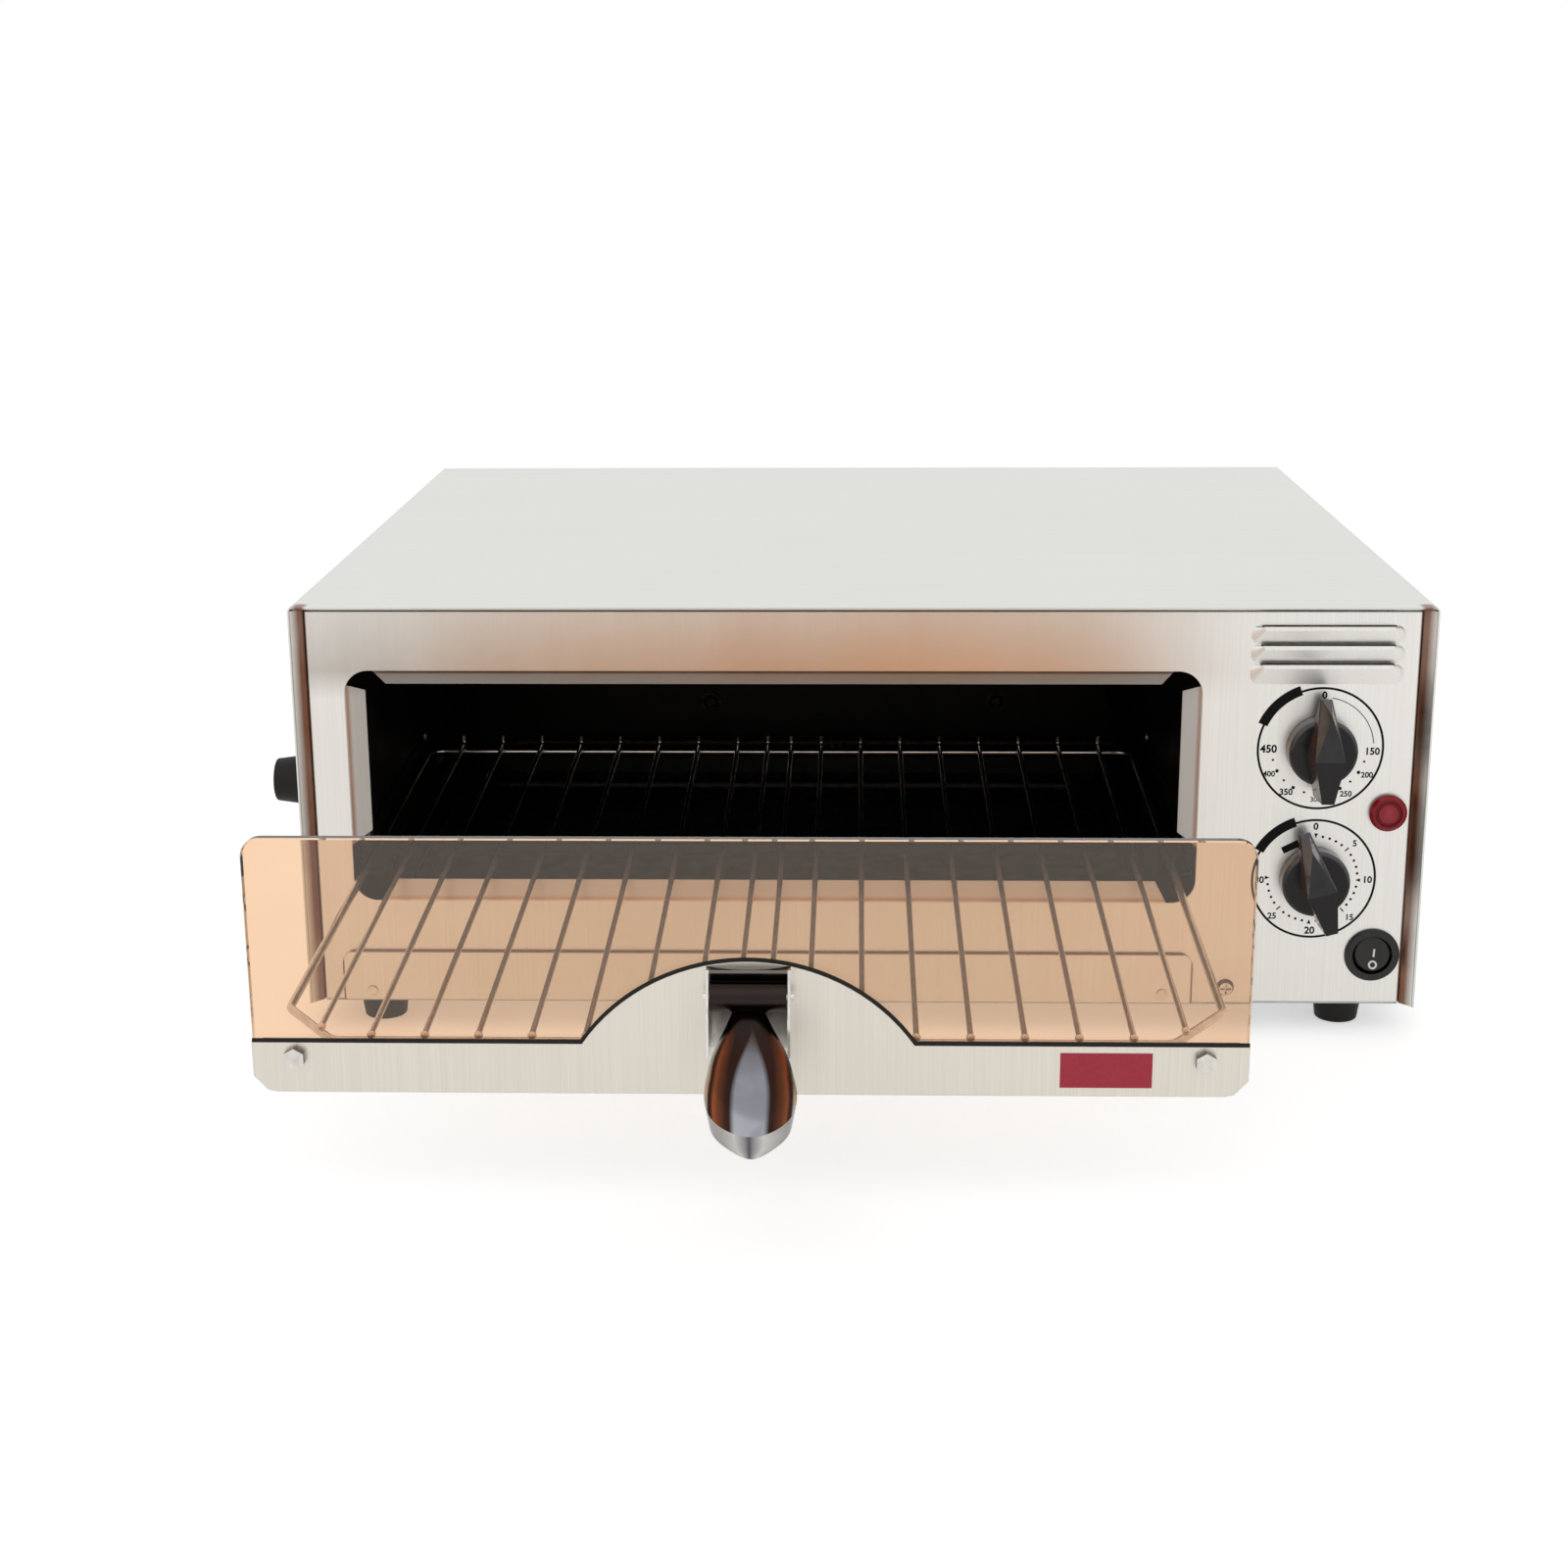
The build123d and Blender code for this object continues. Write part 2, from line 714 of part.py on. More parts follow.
rivets = []
head_r = guide_rivet_r + guide_rivet_head
drop = (frame_wire_r + glide_gap) / math.cos(tilt)
guide_za = rack_line(guide_front) - drop
guide_zb = rack_line(guide_rear) - drop
run = Polyline((guide_front, guide_za), (guide_rear, guide_zb), (guide_rear, guide_zb - guide_t),
               (guide_front, guide_za - guide_t), close=True)
leg = Polyline((guide_front, guide_za - guide_t), (guide_rear, guide_zb - guide_t),
               (guide_rear, guide_zb + guide_leg), (guide_front, guide_za + guide_leg), close=True)
rivet_y = (guide_front + guide_rivet_inset, (guide_front + guide_rear) / 2, guide_rear - guide_rivet_inset)
for side, wall, name in ((1, liner_left, "rack_guide_left"), (-1, liner_right, "rack_guide_right")):
    plane = Plane((wall, 0, 0), x_dir=(0, 1, 0), z_dir=(1, 0, 0))
    guide = extrude(plane * make_face(run), side * guide_w) + extrude(plane * make_face(leg), side * guide_t)
    outer = wall - side * sheet
    inner = wall + side * guide_t
    for y in rivet_y:
        z = rack_line(y) + guide_rivet_up
        guide -= rod_x(guide_rivet_r, y, z, outer, inner)
        liner -= rod_x(guide_rivet_r, y, z, outer, inner)
        rivets.append(rod_x(guide_rivet_r, y, z, outer, inner)
                      + rod_x(head_r, y, z, inner, inner + side * guide_rivet_head_t)
                      + rod_x(head_r, y, z, outer - side * guide_rivet_head_t, outer))
    nodes[name] = guide
nodes["liner_wrap"] = liner
nodes["guide_rivets"] = Compound(rivets)


# ================================================================ heating elements
def element(z):
    r0, r1, r2, r3 = element_rows
    points = [(element_end, r0, z), (element_left, r0, z), (element_left, r1, z), (element_turn, r1, z),
              (element_turn, r2, z), (element_left, r2, z), (element_left, r3, z), (element_end, r3, z)]
    return bar(points, element_r, element_bend)


nodes["lower_element"] = element(lower_z)
nodes["upper_element"] = element(upper_z)
collar_x = liner_right + sheet
collars = []
beads = []
studs = []
for y, z in terminal_spots:
    collars.append(rod_x(collar_r, y, z, collar_x, collar_x + collar_t)
                   - rod_x(element_r + thread_gap, y, z, liner_right, collar_x + collar_t + past))
    beads.append(rod_x(bead_r, y, z, element_end, element_end + bead_len)
                 - rod_x(stud_rod_r + thread_gap, y, z, element_end - past, element_end + bead_len + past))
    studs.append(rod_x(stud_rod_r, y, z, element_end, element_end + stud_len))
nodes["element_collars"] = Compound(collars)
nodes["terminal_beads"] = Compound(beads)
nodes["terminal_studs"] = Compound(studs)


# supports: a toothed clip on the rear wall, arms on the left wall, hooks under the roof
def rear_clip():
    x = mouth_mid + rear_clip_shift
    front = element_rear - 2 * element_r
    x0, x1 = x - clip_hw, x + clip_hw
    shape = block(x0, x1, front, liner_rear, rest_low - clip_t, rest_low)
    shape += block(x0, x1, liner_rear - clip_t, liner_rear, rest_low - clip_t, rest_low + clip_wall_h)
    for i in range(clip_teeth):
        tooth = x + (i - (clip_teeth - 1) / 2) * clip_tooth_pitch
        shape += block(tooth - clip_tooth_hw, tooth + clip_tooth_hw, front, front + clip_t,
                       rest_low, rest_low + clip_tooth_h)
    return shape


def wall_arm(y):
    tip = element_left + arm_hw
    y0, y1 = y - arm_hw, y + arm_hw
    shape = block(liner_left, tip, y0, y1, rest_low - clip_t, rest_low)
    shape += block(liner_left, liner_left + clip_t, y0, y1, rest_low - clip_t, rest_low + arm_wall_h)
    shape += block(tip - clip_t, tip, y0, y1, rest_low, rest_low + arm_hook_h)
    return shape


def roof_hook(x, y):
    y1 = y + element_r + clip_t
    shape = block(x - hook_hw, x + hook_hw, y1, y1 + clip_t, rest_up - clip_t, liner_top)
    shape += block(x - hook_hw, x + hook_hw, y - element_r - clip_t, y1 + clip_t, rest_up - clip_t, rest_up)
    shape += block(x - hook_hw, x + hook_hw, y1, y1 + hook_foot, liner_top - clip_t, liner_top)
    return shape


rest_low = lower_z - element_r
rest_up = upper_z - element_r
arm_y = ((element_rows[0] + element_rows[1]) / 2, (element_rows[2] + element_rows[3]) / 2)
hook_spots = [(mouth_mid + s * hook_reach, y) for y in element_rows[1:3] for s in (-1, 1)]
nodes["element_supports"] = Compound([rear_clip()] + [wall_arm(y) for y in arm_y]
                                     + [roof_hook(x, y) for x, y in hook_spots])


# ================================================================ thermostat, timer, lamp, switch
def bushed_body(z, half_w, half_h, rear_y):
    shape = block(control_x - half_w, control_x + half_w, panel_back, rear_y, z - half_h, z + half_h)
    shape = fillet(shape.edges().filter_by(Axis.Y), 3)
    shape += rod_y(bushing_r, control_x, z, bushing_front, panel_back)
    return shape - rod_y(shaft_r + shaft_gap, control_x, z, 0, rear_y - shaft_seat)


def tab_pair(x, z, rear_y, hw, hh, dx=0.0, dz=0.0):
    # two flat terminals behind a body
    spots = ((x - dx, z - dz), (x + dx, z + dz))
    return [block(a - hw, a + hw, rear_y, rear_y + tab_len, b - hh, b + hh) for a, b in spots]


def control_nut(z):
    return (hex_y(hex_nut_af, control_x, z, panel_recess - hex_nut_t, panel_recess)
            - panel_hole(bushing_r + thread_gap, control_x, z))


tab_hw = 3.2
thermo_tab_x = 9.0
thermo_tab_z = thermo_z - 12.0
thermo = bushed_body(thermo_z, thermo_half_w, thermo_half_h, thermo_back)
for tab in tab_pair(control_x, thermo_tab_z, thermo_back, tab_hw, tab_t / 2, dx=thermo_tab_x):
    thermo += tab
nodes["thermostat_body"] = thermo
nodes["timer_body"] = bushed_body(timer_z, timer_half, timer_half, timer_back)
nodes["control_nuts"] = Compound([control_nut(thermo_z), control_nut(timer_z)])
bell_r = 19.0
bell_h = 8.0
bell_wall = 1.2
bell_post_r = 4.0
bell = rod_y(bell_r, control_x, timer_z, timer_back, timer_back + bell_h)
bell = fillet(bell.edges().group_by(Axis.Y)[-1], bell_h / 2)
bell -= rod_y(bell_r - bell_wall, control_x, timer_z, timer_back - past, timer_back + bell_h - bell_wall)
bell += rod_y(bell_post_r, control_x, timer_z, timer_back, timer_back + bell_h - bell_wall)
nodes["timer_bell"] = bell
shaft_tip = panel_recess - knob_ridge + shaft_seat
nodes["thermostat_shaft"] = rod_y(shaft_r, control_x, thermo_z, shaft_tip, thermo_back - shaft_seat - past)
nodes["timer_shaft"] = rod_y(shaft_r, control_x, timer_z, shaft_tip, timer_back - shaft_seat - past)


def knob(z, turn):
    # pointer over a round skirt: u across, v along the pointer, h away from the panel face
    base_h = skirt_front - skirt_wall
    low_h = knob_ridge - low_tip_drop
    pts = [(-ridge_hw, 0, knob_ridge), (ridge_hw, 0, knob_ridge),
           (-low_tip_hw, -low_tip_reach, low_h), (low_tip_hw, -low_tip_reach, low_h),
           (0, apex_reach, knob_ridge - apex_drop),
           (-top_tip_hw, top_tip_reach, top_tip_h), (top_tip_hw, top_tip_reach, top_tip_h),
           (-ridge_hw - flank_spread, 0, base_h), (ridge_hw + flank_spread, 0, base_h),
           (-low_tip_hw - flank_spread, -low_tip_reach - flank_spread, base_h),
           (low_tip_hw + flank_spread, -low_tip_reach - flank_spread, base_h),
           (-top_tip_hw - flank_spread, top_tip_reach, base_h),
           (top_tip_hw + flank_spread, top_tip_reach, base_h)]
    world = [(u, -h, v) for u, v, h in pts]
    faces = [(0, 1, 4), (0, 2, 3, 1), (4, 1, 6), (4, 6, 5), (0, 4, 5), (0, 5, 11), (0, 11, 7), (0, 7, 9),
             (0, 9, 2), (1, 12, 6), (1, 8, 12), (1, 3, 10), (1, 10, 8), (2, 9, 10, 3), (5, 6, 12, 11),
             (7, 11, 12, 8), (7, 8, 10, 9)]
    disc = rod_y(skirt_r, 0, 0, -skirt_front, -knob_gap)
    disc = fillet(disc.edges().group_by(Axis.Y)[0], skirt_round)
    body = disc + polyhedron(world, faces)
    hollow_end = -skirt_front + skirt_wall + knob_gap
    body -= (rod_y(skirt_r - skirt_wall, 0, 0, hollow_end, 0)
             - rod_y(hub_r, 0, 0, hollow_end, -hex_nut_t - skirt_wall))
    body -= rod_y(shaft_r + thread_gap, 0, 0, -knob_ridge + shaft_seat, 0)
    return Pos(control_x, panel_recess, z) * Rot(0, turn, 0) * body


nodes["thermostat_knob"] = knob(thermo_z, 0)
nodes["timer_knob"] = knob(timer_z, -timer_hold_deg)

# temperature bulb and its capillary
capillary = bar([(bulb_x, bulb_front, bulb_z), (bulb_x, capillary_y, bulb_z),
                 (control_x, capillary_y, bulb_z), (control_x, thermo_back, bulb_z)],
                capillary_r, capillary_bend)
nodes["thermostat_bulb"] = rod_y(bulb_r, bulb_x, bulb_z, bulb_front, bulb_front + bulb_len) + capillary
bulb_clips = []
for y in (bulb_front + bulb_clip_inset, bulb_front + bulb_len - bulb_clip_inset):
    y0, y1 = y - bulb_clip_hw, y + bulb_clip_hw
    ring = (rod_y(bulb_r + bulb_clip_t, bulb_x, bulb_z, y0, y1)
            - rod_y(bulb_r + thread_gap, bulb_x, bulb_z, y0 - past, y1 + past))
    ring += block(bulb_x + bulb_r + bulb_clip_t / 2, liner_right, y0, y1, bulb_z - bulb_clip_t / 2,
                  bulb_z + bulb_clip_t / 2)
    ring += block(liner_right - bulb_clip_t, liner_right, y0, y1, bulb_z - bulb_clip_t / 2,
                  bulb_z + 3 * bulb_r)
    bulb_clips.append(ring)
nodes["bulb_clips"] = Compound(bulb_clips)

# indicator lamp: a lens with a raised ring and a flat middle
lens_profile = Polyline((0, -3.0), (4.2, -3.0), (4.6, -2.5), (5.2, -2.5), (5.6, -3.1), (6.6, -2.9),
                        (lamp_r, -1.7), (lamp_r, 0), (0, 0), close=True)
nodes["lamp_lens"] = Pos(lamp_x, panel_recess, lamp_z) * revolve(Plane.XY * make_face(lens_profile), Axis.Y)
lamp_tab_x = 2.6
lamp_tab_hw = 2.4
lamp_nut_r = 7.6
lamp_nut_t = 1.4
lamp_body = rod_y(lamp_body_r, lamp_x, lamp_z, panel_recess, lamp_body_end)
for tab in tab_pair(lamp_x, lamp_z, lamp_body_end, tab_t / 2, lamp_tab_hw, dx=lamp_tab_x):
    lamp_body += tab
nodes["lamp_body"] = lamp_body
nodes["lamp_nut"] = (rod_y(lamp_nut_r, lamp_x, lamp_z, panel_back, panel_back + lamp_nut_t)
                     - panel_hole(lamp_body_r + thread_gap, lamp_x, lamp_z))

# rocker switch, upper half pressed
switch_tab_z = 5.0
pin_end = switch_body_r - rocker_pin_end
bezel = rod_y(bezel_r, switch_x, switch_z, panel_recess - bezel_t, panel_recess)
bezel = fillet(bezel.edges().group_by(Axis.Y)[0], 1.0)
housing = bezel + rod_y(switch_body_r, switch_x, switch_z, panel_recess, switch_body_end)
housing -= rod_y(recess_r, switch_x, switch_z, 0, recess_depth)
housing -= rod_x(rocker_pin_r + shaft_gap, rocker_pivot_y, switch_z, switch_x - pin_end - hole_gap,
                 switch_x + pin_end + hole_gap)
for tab in tab_pair(switch_x, switch_z, switch_body_end, tab_hw, tab_t / 2, dz=switch_tab_z):
    housing += tab
nodes["switch_housing"] = housing
paddle = Sphere(rocker_r) & block(-rocker_r, rocker_r, -rocker_face, rocker_back, -rocker_r, rocker_r)
paddle += rod_x(rocker_pin_r, 0, 0, -pin_end, pin_end)
nodes["switch_rocker"] = Pos(switch_x, rocker_pivot_y, switch_z) * Rot(-rocker_tilt, 0, 0) * paddle

# terminal block, wiring, gland
ways = [gland_x + (i - (way_count - 1) / 2) * way_pitch - past for i in range(way_count)]
term = block(ways[0] - block_wall, ways[-1] + block_wall, block_y, block_y + block_len, sheet, block_top)
well_floor = wire_run_z + 3 * past
for x in ways:
    for y in (block_y + block_wall, block_y + block_len - block_wall):
        term -= rod_z(well_r, x, y, well_floor, block_top + past)
    term -= rod_y(tap_hole_r, x, wire_run_z, block_y - past, block_y + block_wall)
nodes["terminal_block"] = term
link_out = 8.0
link_back = 12.0
lamp_rise_gap = 16.0
lamp_run = 26.0
thermo_rise_gap = 28.0
thermo_run_y = 90.0
switch_run_y = 70.0
switch_rise_y = 50.0
stud_end = element_end + stud_len
link_x = stud_end + link_out
link_y = element_front + link_back
lead_y = block_y + block_wall - past
switch_lead_z = switch_z - switch_tab_z
thermo_lead_x = control_x - thermo_tab_x
lamp_rise_y = block_y - lamp_rise_gap
thermo_rise_y = block_y - thermo_rise_gap
wires = [
    bar([(ways[3], lead_y, wire_run_z), (ways[3], switch_run_y, wire_run_z),
         (switch_x, switch_rise_y, switch_lead_z), (switch_x, switch_body_end + tab_len, switch_lead_z)],
        wire_r, wire_bend),
    bar([(ways[2], lead_y, wire_run_z), (ways[2], lamp_rise_y, wire_run_z), (ways[2], lamp_rise_y, lamp_z),
         (lamp_x, lamp_rise_y - lamp_run, lamp_z), (lamp_x, lamp_body_end + tab_len, lamp_z)],
        wire_r, wire_bend),
    bar([(ways[0], lead_y, wire_run_z), (ways[0], thermo_rise_y, wire_run_z),
         (ways[0], thermo_rise_y, thermo_tab_z), (thermo_lead_x, thermo_run_y, thermo_tab_z),
         (thermo_lead_x, thermo_back + tab_len, thermo_tab_z)], wire_r, wire_bend),
    bar([(stud_end, element_rear, lower_z), (link_x, element_rear, lower_z), (link_x, element_rear, upper_z),
         (stud_end, element_rear, upper_z)], wire_r, wire_bend - 2),
    bar([(stud_end, element_front, lower_z), (link_x, element_front, lower_z), (link_x, link_y, lower_z),
         (link_x, link_y, upper_z), (link_x, element_front, upper_z), (stud_end, element_front, upper_z)],
        wire_r, wire_bend - 2)]
nodes["wiring"] = Compound(wires)
gland_nut_t = 4.0
gland = rod_y(gland_r, gland_x, gland_z, rear_inner - gland_in, case_d)
gland += rod_y(gland_flange_r, gland_x, gland_z, case_d, case_d + gland_flange_t)
gland += Pos(gland_x, case_d + gland_flange_t, gland_z) * Rot(-90, 0, 0) * Cone(
    gland_r + past, gland_r - past, gland_out - gland_flange_t, align=(Align.CENTER, Align.CENTER, Align.MIN))
gland += rod_y(gland_nut_r, gland_x, gland_z, rear_inner - gland_nut_t, rear_inner)
gland -= rod_y(gland_bore_r, gland_x, gland_z, rear_inner - gland_in - past, case_d + gland_out + past)
nodes["cord_gland"] = gland


# ================================================================ drawer: wire rack
def on_rack(x, along, lift):
    # point given along the rack's own slope from its front wire
    return (rack_x + x, rack_front_y + along * math.cos(tilt) - lift * math.sin(tilt),
            rack_front_z + along * math.sin(tilt) + lift * math.cos(tilt))


ring = [(0, 0), (rack_hw - rack_chamfer_x, 0), (rack_hw, rack_chamfer_y), (rack_hw, rack_len),
        (-rack_hw, rack_len), (-rack_hw, rack_chamfer_y), (-rack_hw + rack_chamfer_x, 0), (0, 0)]
rack = bar([on_rack(x, along, 0) for x, along in ring], frame_wire_r, rack_bend)
wire_lift = frame_wire_r + long_wire_r - weld
side_wires = int((rack_hw - wire_inner - wire_margin) / wire_pitch) + 1
half_set = [wire_centre] + [wire_inner + i * wire_pitch for i in range(side_wires)]
wire_end = rack_len + wire_tip_reach
for x in [-v for v in half_set] + half_set:
    over = max(0.0, abs(x) - (rack_hw - rack_chamfer_x)) * rack_chamfer_y / rack_chamfer_x
    rack += bar([on_rack(x, over, wire_lift), on_rack(x, wire_end, wire_lift),
                 on_rack(x, wire_end, wire_lift + wire_tip_rise)], long_wire_r, 2)
    rack += Pos(*on_rack(x, over + weld_bead, wire_lift - weld)) * Sphere(long_wire_r + weld_bead)
nodes["wire_rack"] = rack

# ================================================================ drawer: glass, band, clamp strip
clamp_back = rack_front_y - frame_wire_r
glass_back = clamp_back - clamp_t
glass_front = glass_back - glass_t
band_front = glass_front - band_t
glass_left = door_x - glass_hw
glass_right = door_x + glass_hw
bolt_x = (glass_left + bolt_inset, glass_right - bolt_inset)


def front_hole(r, x, z):
    return rod_y(r, x, z, band_front - bracket_depth, clamp_back + door_nut_t + past)


strip = block(glass_left + clamp_inset, glass_right - clamp_inset, glass_back, clamp_back,
              clamp_low, clamp_top)
glass = rounded_plate_y(glass_left, glass_right, glass_low - glass_corner, glass_top, glass_corner,
                        glass_front, glass_back)
glass -= block(glass_left - past, glass_right + past, glass_front - past, glass_back + past, 0, glass_low)
glass = chamfer(glass.edges().filter_by(Axis.X).group_by(Axis.Z)[-1], glass_edge)
dome_r = (dome_half ** 2 + dome_rise ** 2) / (2 * dome_rise)
outline = Plane((door_x, glass_front, 0), x_dir=(1, 0, 0), z_dir=(0, -1, 0)) * make_face(Polyline(
    (-glass_hw, band_low + band_corner_z), (-glass_hw + band_nick_x, band_low + band_nick_z),
    (-glass_hw + band_corner_x, band_low), (glass_hw - band_corner_x, band_low),
    (glass_hw - band_nick_x, band_low + band_nick_z), (glass_hw, band_low + band_corner_z),
    (glass_hw, band_top), (-glass_hw, band_top), close=True))
band = extrude(outline, band_t)
dome = rod_y(dome_r, door_x, band_top + dome_rise - dome_r, band_front, glass_front)
band += dome & block(door_x - dome_r, door_x + dome_r, band_front, glass_front,
                     band_top - past, band_top + dome_r)
door_bolts = []
door_nuts = []
for x in bolt_x:
    strip -= front_hole(m4_r + hole_gap, x, bolt_z)
    glass -= front_hole(m4_r + bolt_glass_gap, x, bolt_z)
    band -= front_hole(m4_r + hole_gap, x, bolt_z)
    door_bolts.append(hex_y(bolt_head_af, x, bolt_z, band_front - bolt_head_t, band_front)
                      + rod_y(m4_r, x, bolt_z, band_front, clamp_back + door_nut_t + bolt_end))
    door_nuts.append(hex_y(m4_nut_af, x, bolt_z, clamp_back, clamp_back + door_nut_t)
                     - front_hole(m4_r + thread_gap, x, bolt_z))
nodes["clamp_strip"] = strip
nodes["door_bolts"] = Compound(door_bolts)
nodes["door_nuts"] = Compound(door_nuts)
sticker_left = glass_right - sticker_inset - sticker_w
nodes["band_sticker"] = block(sticker_left, sticker_left + sticker_w, band_front - sticker_t, band_front,
                              sticker_low, sticker_low + sticker_h)


def rack_clip(x):
    # saddle round the rack's front wire with a tab against the clamp strip
    z = rack_front_z
    shape = rod_x(frame_wire_r + saddle_t, rack_front_y, z, x - saddle_hw, x + saddle_hw)
    shape &= block(x - saddle_hw, x + saddle_hw, clamp_back, rack_front_y + saddle_hw, z - saddle_hw, z)
    shape -= rod_x(frame_wire_r + thread_gap, rack_front_y, z, x - saddle_hw - past, x + saddle_hw + past)
    return shape + block(x - saddle_hw, x + saddle_hw, clamp_back, clamp_back + saddle_t, clamp_low + past,
                         z - frame_wire_r - seam_gap)


nodes["rack_clips"] = Compound([rack_clip(rack_x + s * clip_reach) for s in (-1, 0, 1)])

# ================================================================ handle
# bracket: a back plate with a short top and cheeks that deepen downwards
bx0 = handle_x - bracket_w / 2
bx1 = handle_x + bracket_w / 2
bz0 = bracket_top - bracket_h
pin_y = band_front - grip_pin_out
cheek_front = band_front - bracket_depth
cheek = Polyline((band_front, bz0), (band_front, bracket_top), (band_front - bracket_top_depth, bracket_top),
                 (cheek_front, bz0 + bracket_full_h), (cheek_front, bz0), close=True)
bracket = extrude(Plane((bx0, 0, 0), x_dir=(0, 1, 0), z_dir=(1, 0, 0)) * make_face(cheek), bracket_w)
bracket -= block(bx0 + bracket_t, bx1 - bracket_t, band_front - bracket_depth - past, band_front - bracket_t,
                 bz0 - past, bracket_top - bracket_t)
bracket -= rod_x(grip_pin_r + thread_gap, pin_y, grip_pin_z, bx0 - past, bx1 + past)
bracket -= front_hole(m4_r + hole_gap, handle_x, handle_screw_z)
band -= front_hole(m4_r + hole_gap, handle_x, handle_screw_z)
glass -= rod_y(handle_screw_head_r + seam_gap, handle_x, handle_screw_z,
               glass_front - past, glass_back + past)
nodes["handle_bracket"] = bracket
nodes["door_glass"] = glass
nodes["door_band"] = band

grip_angle = math.radians(grip_slope)
grip_up = Vector(0, -math.sin(grip_angle), math.cos(grip_angle))
grip_start = Vector(handle_x, band_front - bracket_t, grip_top_z)


def grip_section(stations, tip, lift, share=1.0):
    # smooth outline through half widths at distances from the bracket, on a plane along the grip,
    # drawn in towards the grip's middle by the given share
    side = [(w * share, grip_middle + (s - grip_middle) * share) for s, w in stations]
    end = grip_middle + (tip - grip_middle) * share
    points = [(-w, -s) for w, s in side] + [(0, -end)] + [(w, -s) for w, s in reversed(side)]
    plane = Plane(origin=grip_start + grip_up * lift, x_dir=(1, 0, 0), z_dir=grip_up)
    return plane * make_face([Spline(points), Line(points[-1], points[0])])


rim = [(1.0, 3.2), (8.0, 6.0), (15.5, 8.8), (25.0, 12.6), (36.0, 15.1), (46.0, 15.9), (53.0, 13.9),
       (58.9, 8.0)]
keel = [(1.0, 3.0), (8.0, 5.0), (15.5, 7.2), (25.0, 10.0), (36.0, 13.0), (46.0, 14.6), (54.0, 13.0),
        (60.5, 7.0)]
crown_shares = (1.0, 0.85, 0.6, 0.3)
crown = [grip_section(rim, grip_tip, grip_crown * (math.sqrt(1 - share ** 2) - 1), share)
         for share in crown_shares]
grip = loft([grip_section(keel, grip_keel_tip, -grip_thick), crown[0]], ruled=True)
grip += loft(crown)
grip = Pos(handle_x, pin_y, 0) * Rot(0, 0, grip_swing) * Pos(-handle_x, -pin_y, 0) * grip
grip_back = band_front - bracket_t
hub_hw = bracket_w / 2 - bracket_t - grip_side_gap
grip += block(handle_x - neck_hw, handle_x + neck_hw, grip_back - neck_len, grip_back, neck_low, neck_high)
grip += rod_x(grip_hub_r, pin_y, grip_pin_z, handle_x - hub_hw, handle_x + hub_hw)
grip -= block(handle_x - bracket_w, handle_x + bracket_w, grip_back, band_front + bracket_w, 0, bracket_top)
grip -= rod_x(grip_pin_r + thread_gap, pin_y, grip_pin_z, bx0 - past, bx1 + past)
grip -= rod_y(m4_r, handle_x, handle_screw_z, grip_back - handle_screw_len, band_front)
nodes["handle_grip"] = grip
nodes["handle_pin"] = rod_x(grip_pin_r, pin_y, grip_pin_z, bx0 - grip_pin_end, bx1 + grip_pin_end)
nodes["handle_screw"] = (
    rod_y(m4_r, handle_x, handle_screw_z, grip_back - handle_screw_len, glass_front)
    + rod_y(handle_screw_head_r, handle_x, handle_screw_z, glass_front, glass_front + handle_screw_head_t))

# ================================================================ crumb tray
flap_back = panel_recess - flap_gap
flap_front = flap_back - flap_t
flap = rounded_plate_y(flap_left, flap_right, flap_low - flap_corner, flap_top, flap_corner,
                       flap_front, flap_back)
flap -= block(flap_left - past, flap_right + past, flap_front - past, flap_back + past,
              -2 * flap_corner, flap_low)
tray = block(tray_left, tray_right, flap_back, tray_back, tray_low, tray_low + tray_h)
tray -= block(tray_left + sheet, tray_right - sheet, flap_back + sheet, tray_back - sheet,
              tray_low + sheet, tray_low + tray_h + past)
tray += block(tray_left, tray_right, flap_back, flap_back + sheet, tray_wall_low, tray_low + sheet)
tray_rivets = []
for x in (tray_left + tray_rivet_inset, tray_right - tray_rivet_inset):
    rivet_hole = rod_y(tray_rivet_shank_r + thread_gap, x, tray_rivet_z,
                       flap_front - past, flap_back + sheet + past)
    flap -= rivet_hole
    tray -= rivet_hole
    tray_rivets.append(rod_y(tray_rivet_shank_r, x, tray_rivet_z, flap_front, flap_back + sheet)
                       + rod_y(tray_rivet_r, x, tray_rivet_z, flap_front - flap_t / 2, flap_front)
                       + rod_y(tray_rivet_r - sheet, x, tray_rivet_z,
                               flap_back + sheet, flap_back + 2 * sheet))


def runner(x):
    # channel under the tray, open downwards
    half = runner_w / 2
    shape = block(x - half, x + half, panel_back + runner_front_gap, tray_back, sheet, sheet + runner_h)
    return shape - block(x - half + sheet, x + half - sheet, panel_back, tray_back + past, 0, runner_h)


nodes["tray_runners"] = Compound([runner(tray_left + runner_inset), runner(tray_right - runner_inset)])
nodes["tray_flap"] = flap
nodes["crumb_tray"] = tray
nodes["tray_rivets"] = Compound(tray_rivets)


# ================================================================ feet, bumpers and casing screws
def rubber_foot():
    cone = Cone(foot_tip_r, foot_r, foot_h, align=(Align.CENTER, Align.CENTER, Align.MAX))
    return fillet(cone.edges().group_by(Axis.Z)[0], foot_round)


def m4_nut():
    return hex_z(m4_nut_af, 0, 0, 0, m4_nut_t) - rod_z(m4_r + thread_gap, 0, 0, -past, m4_nut_t + past)


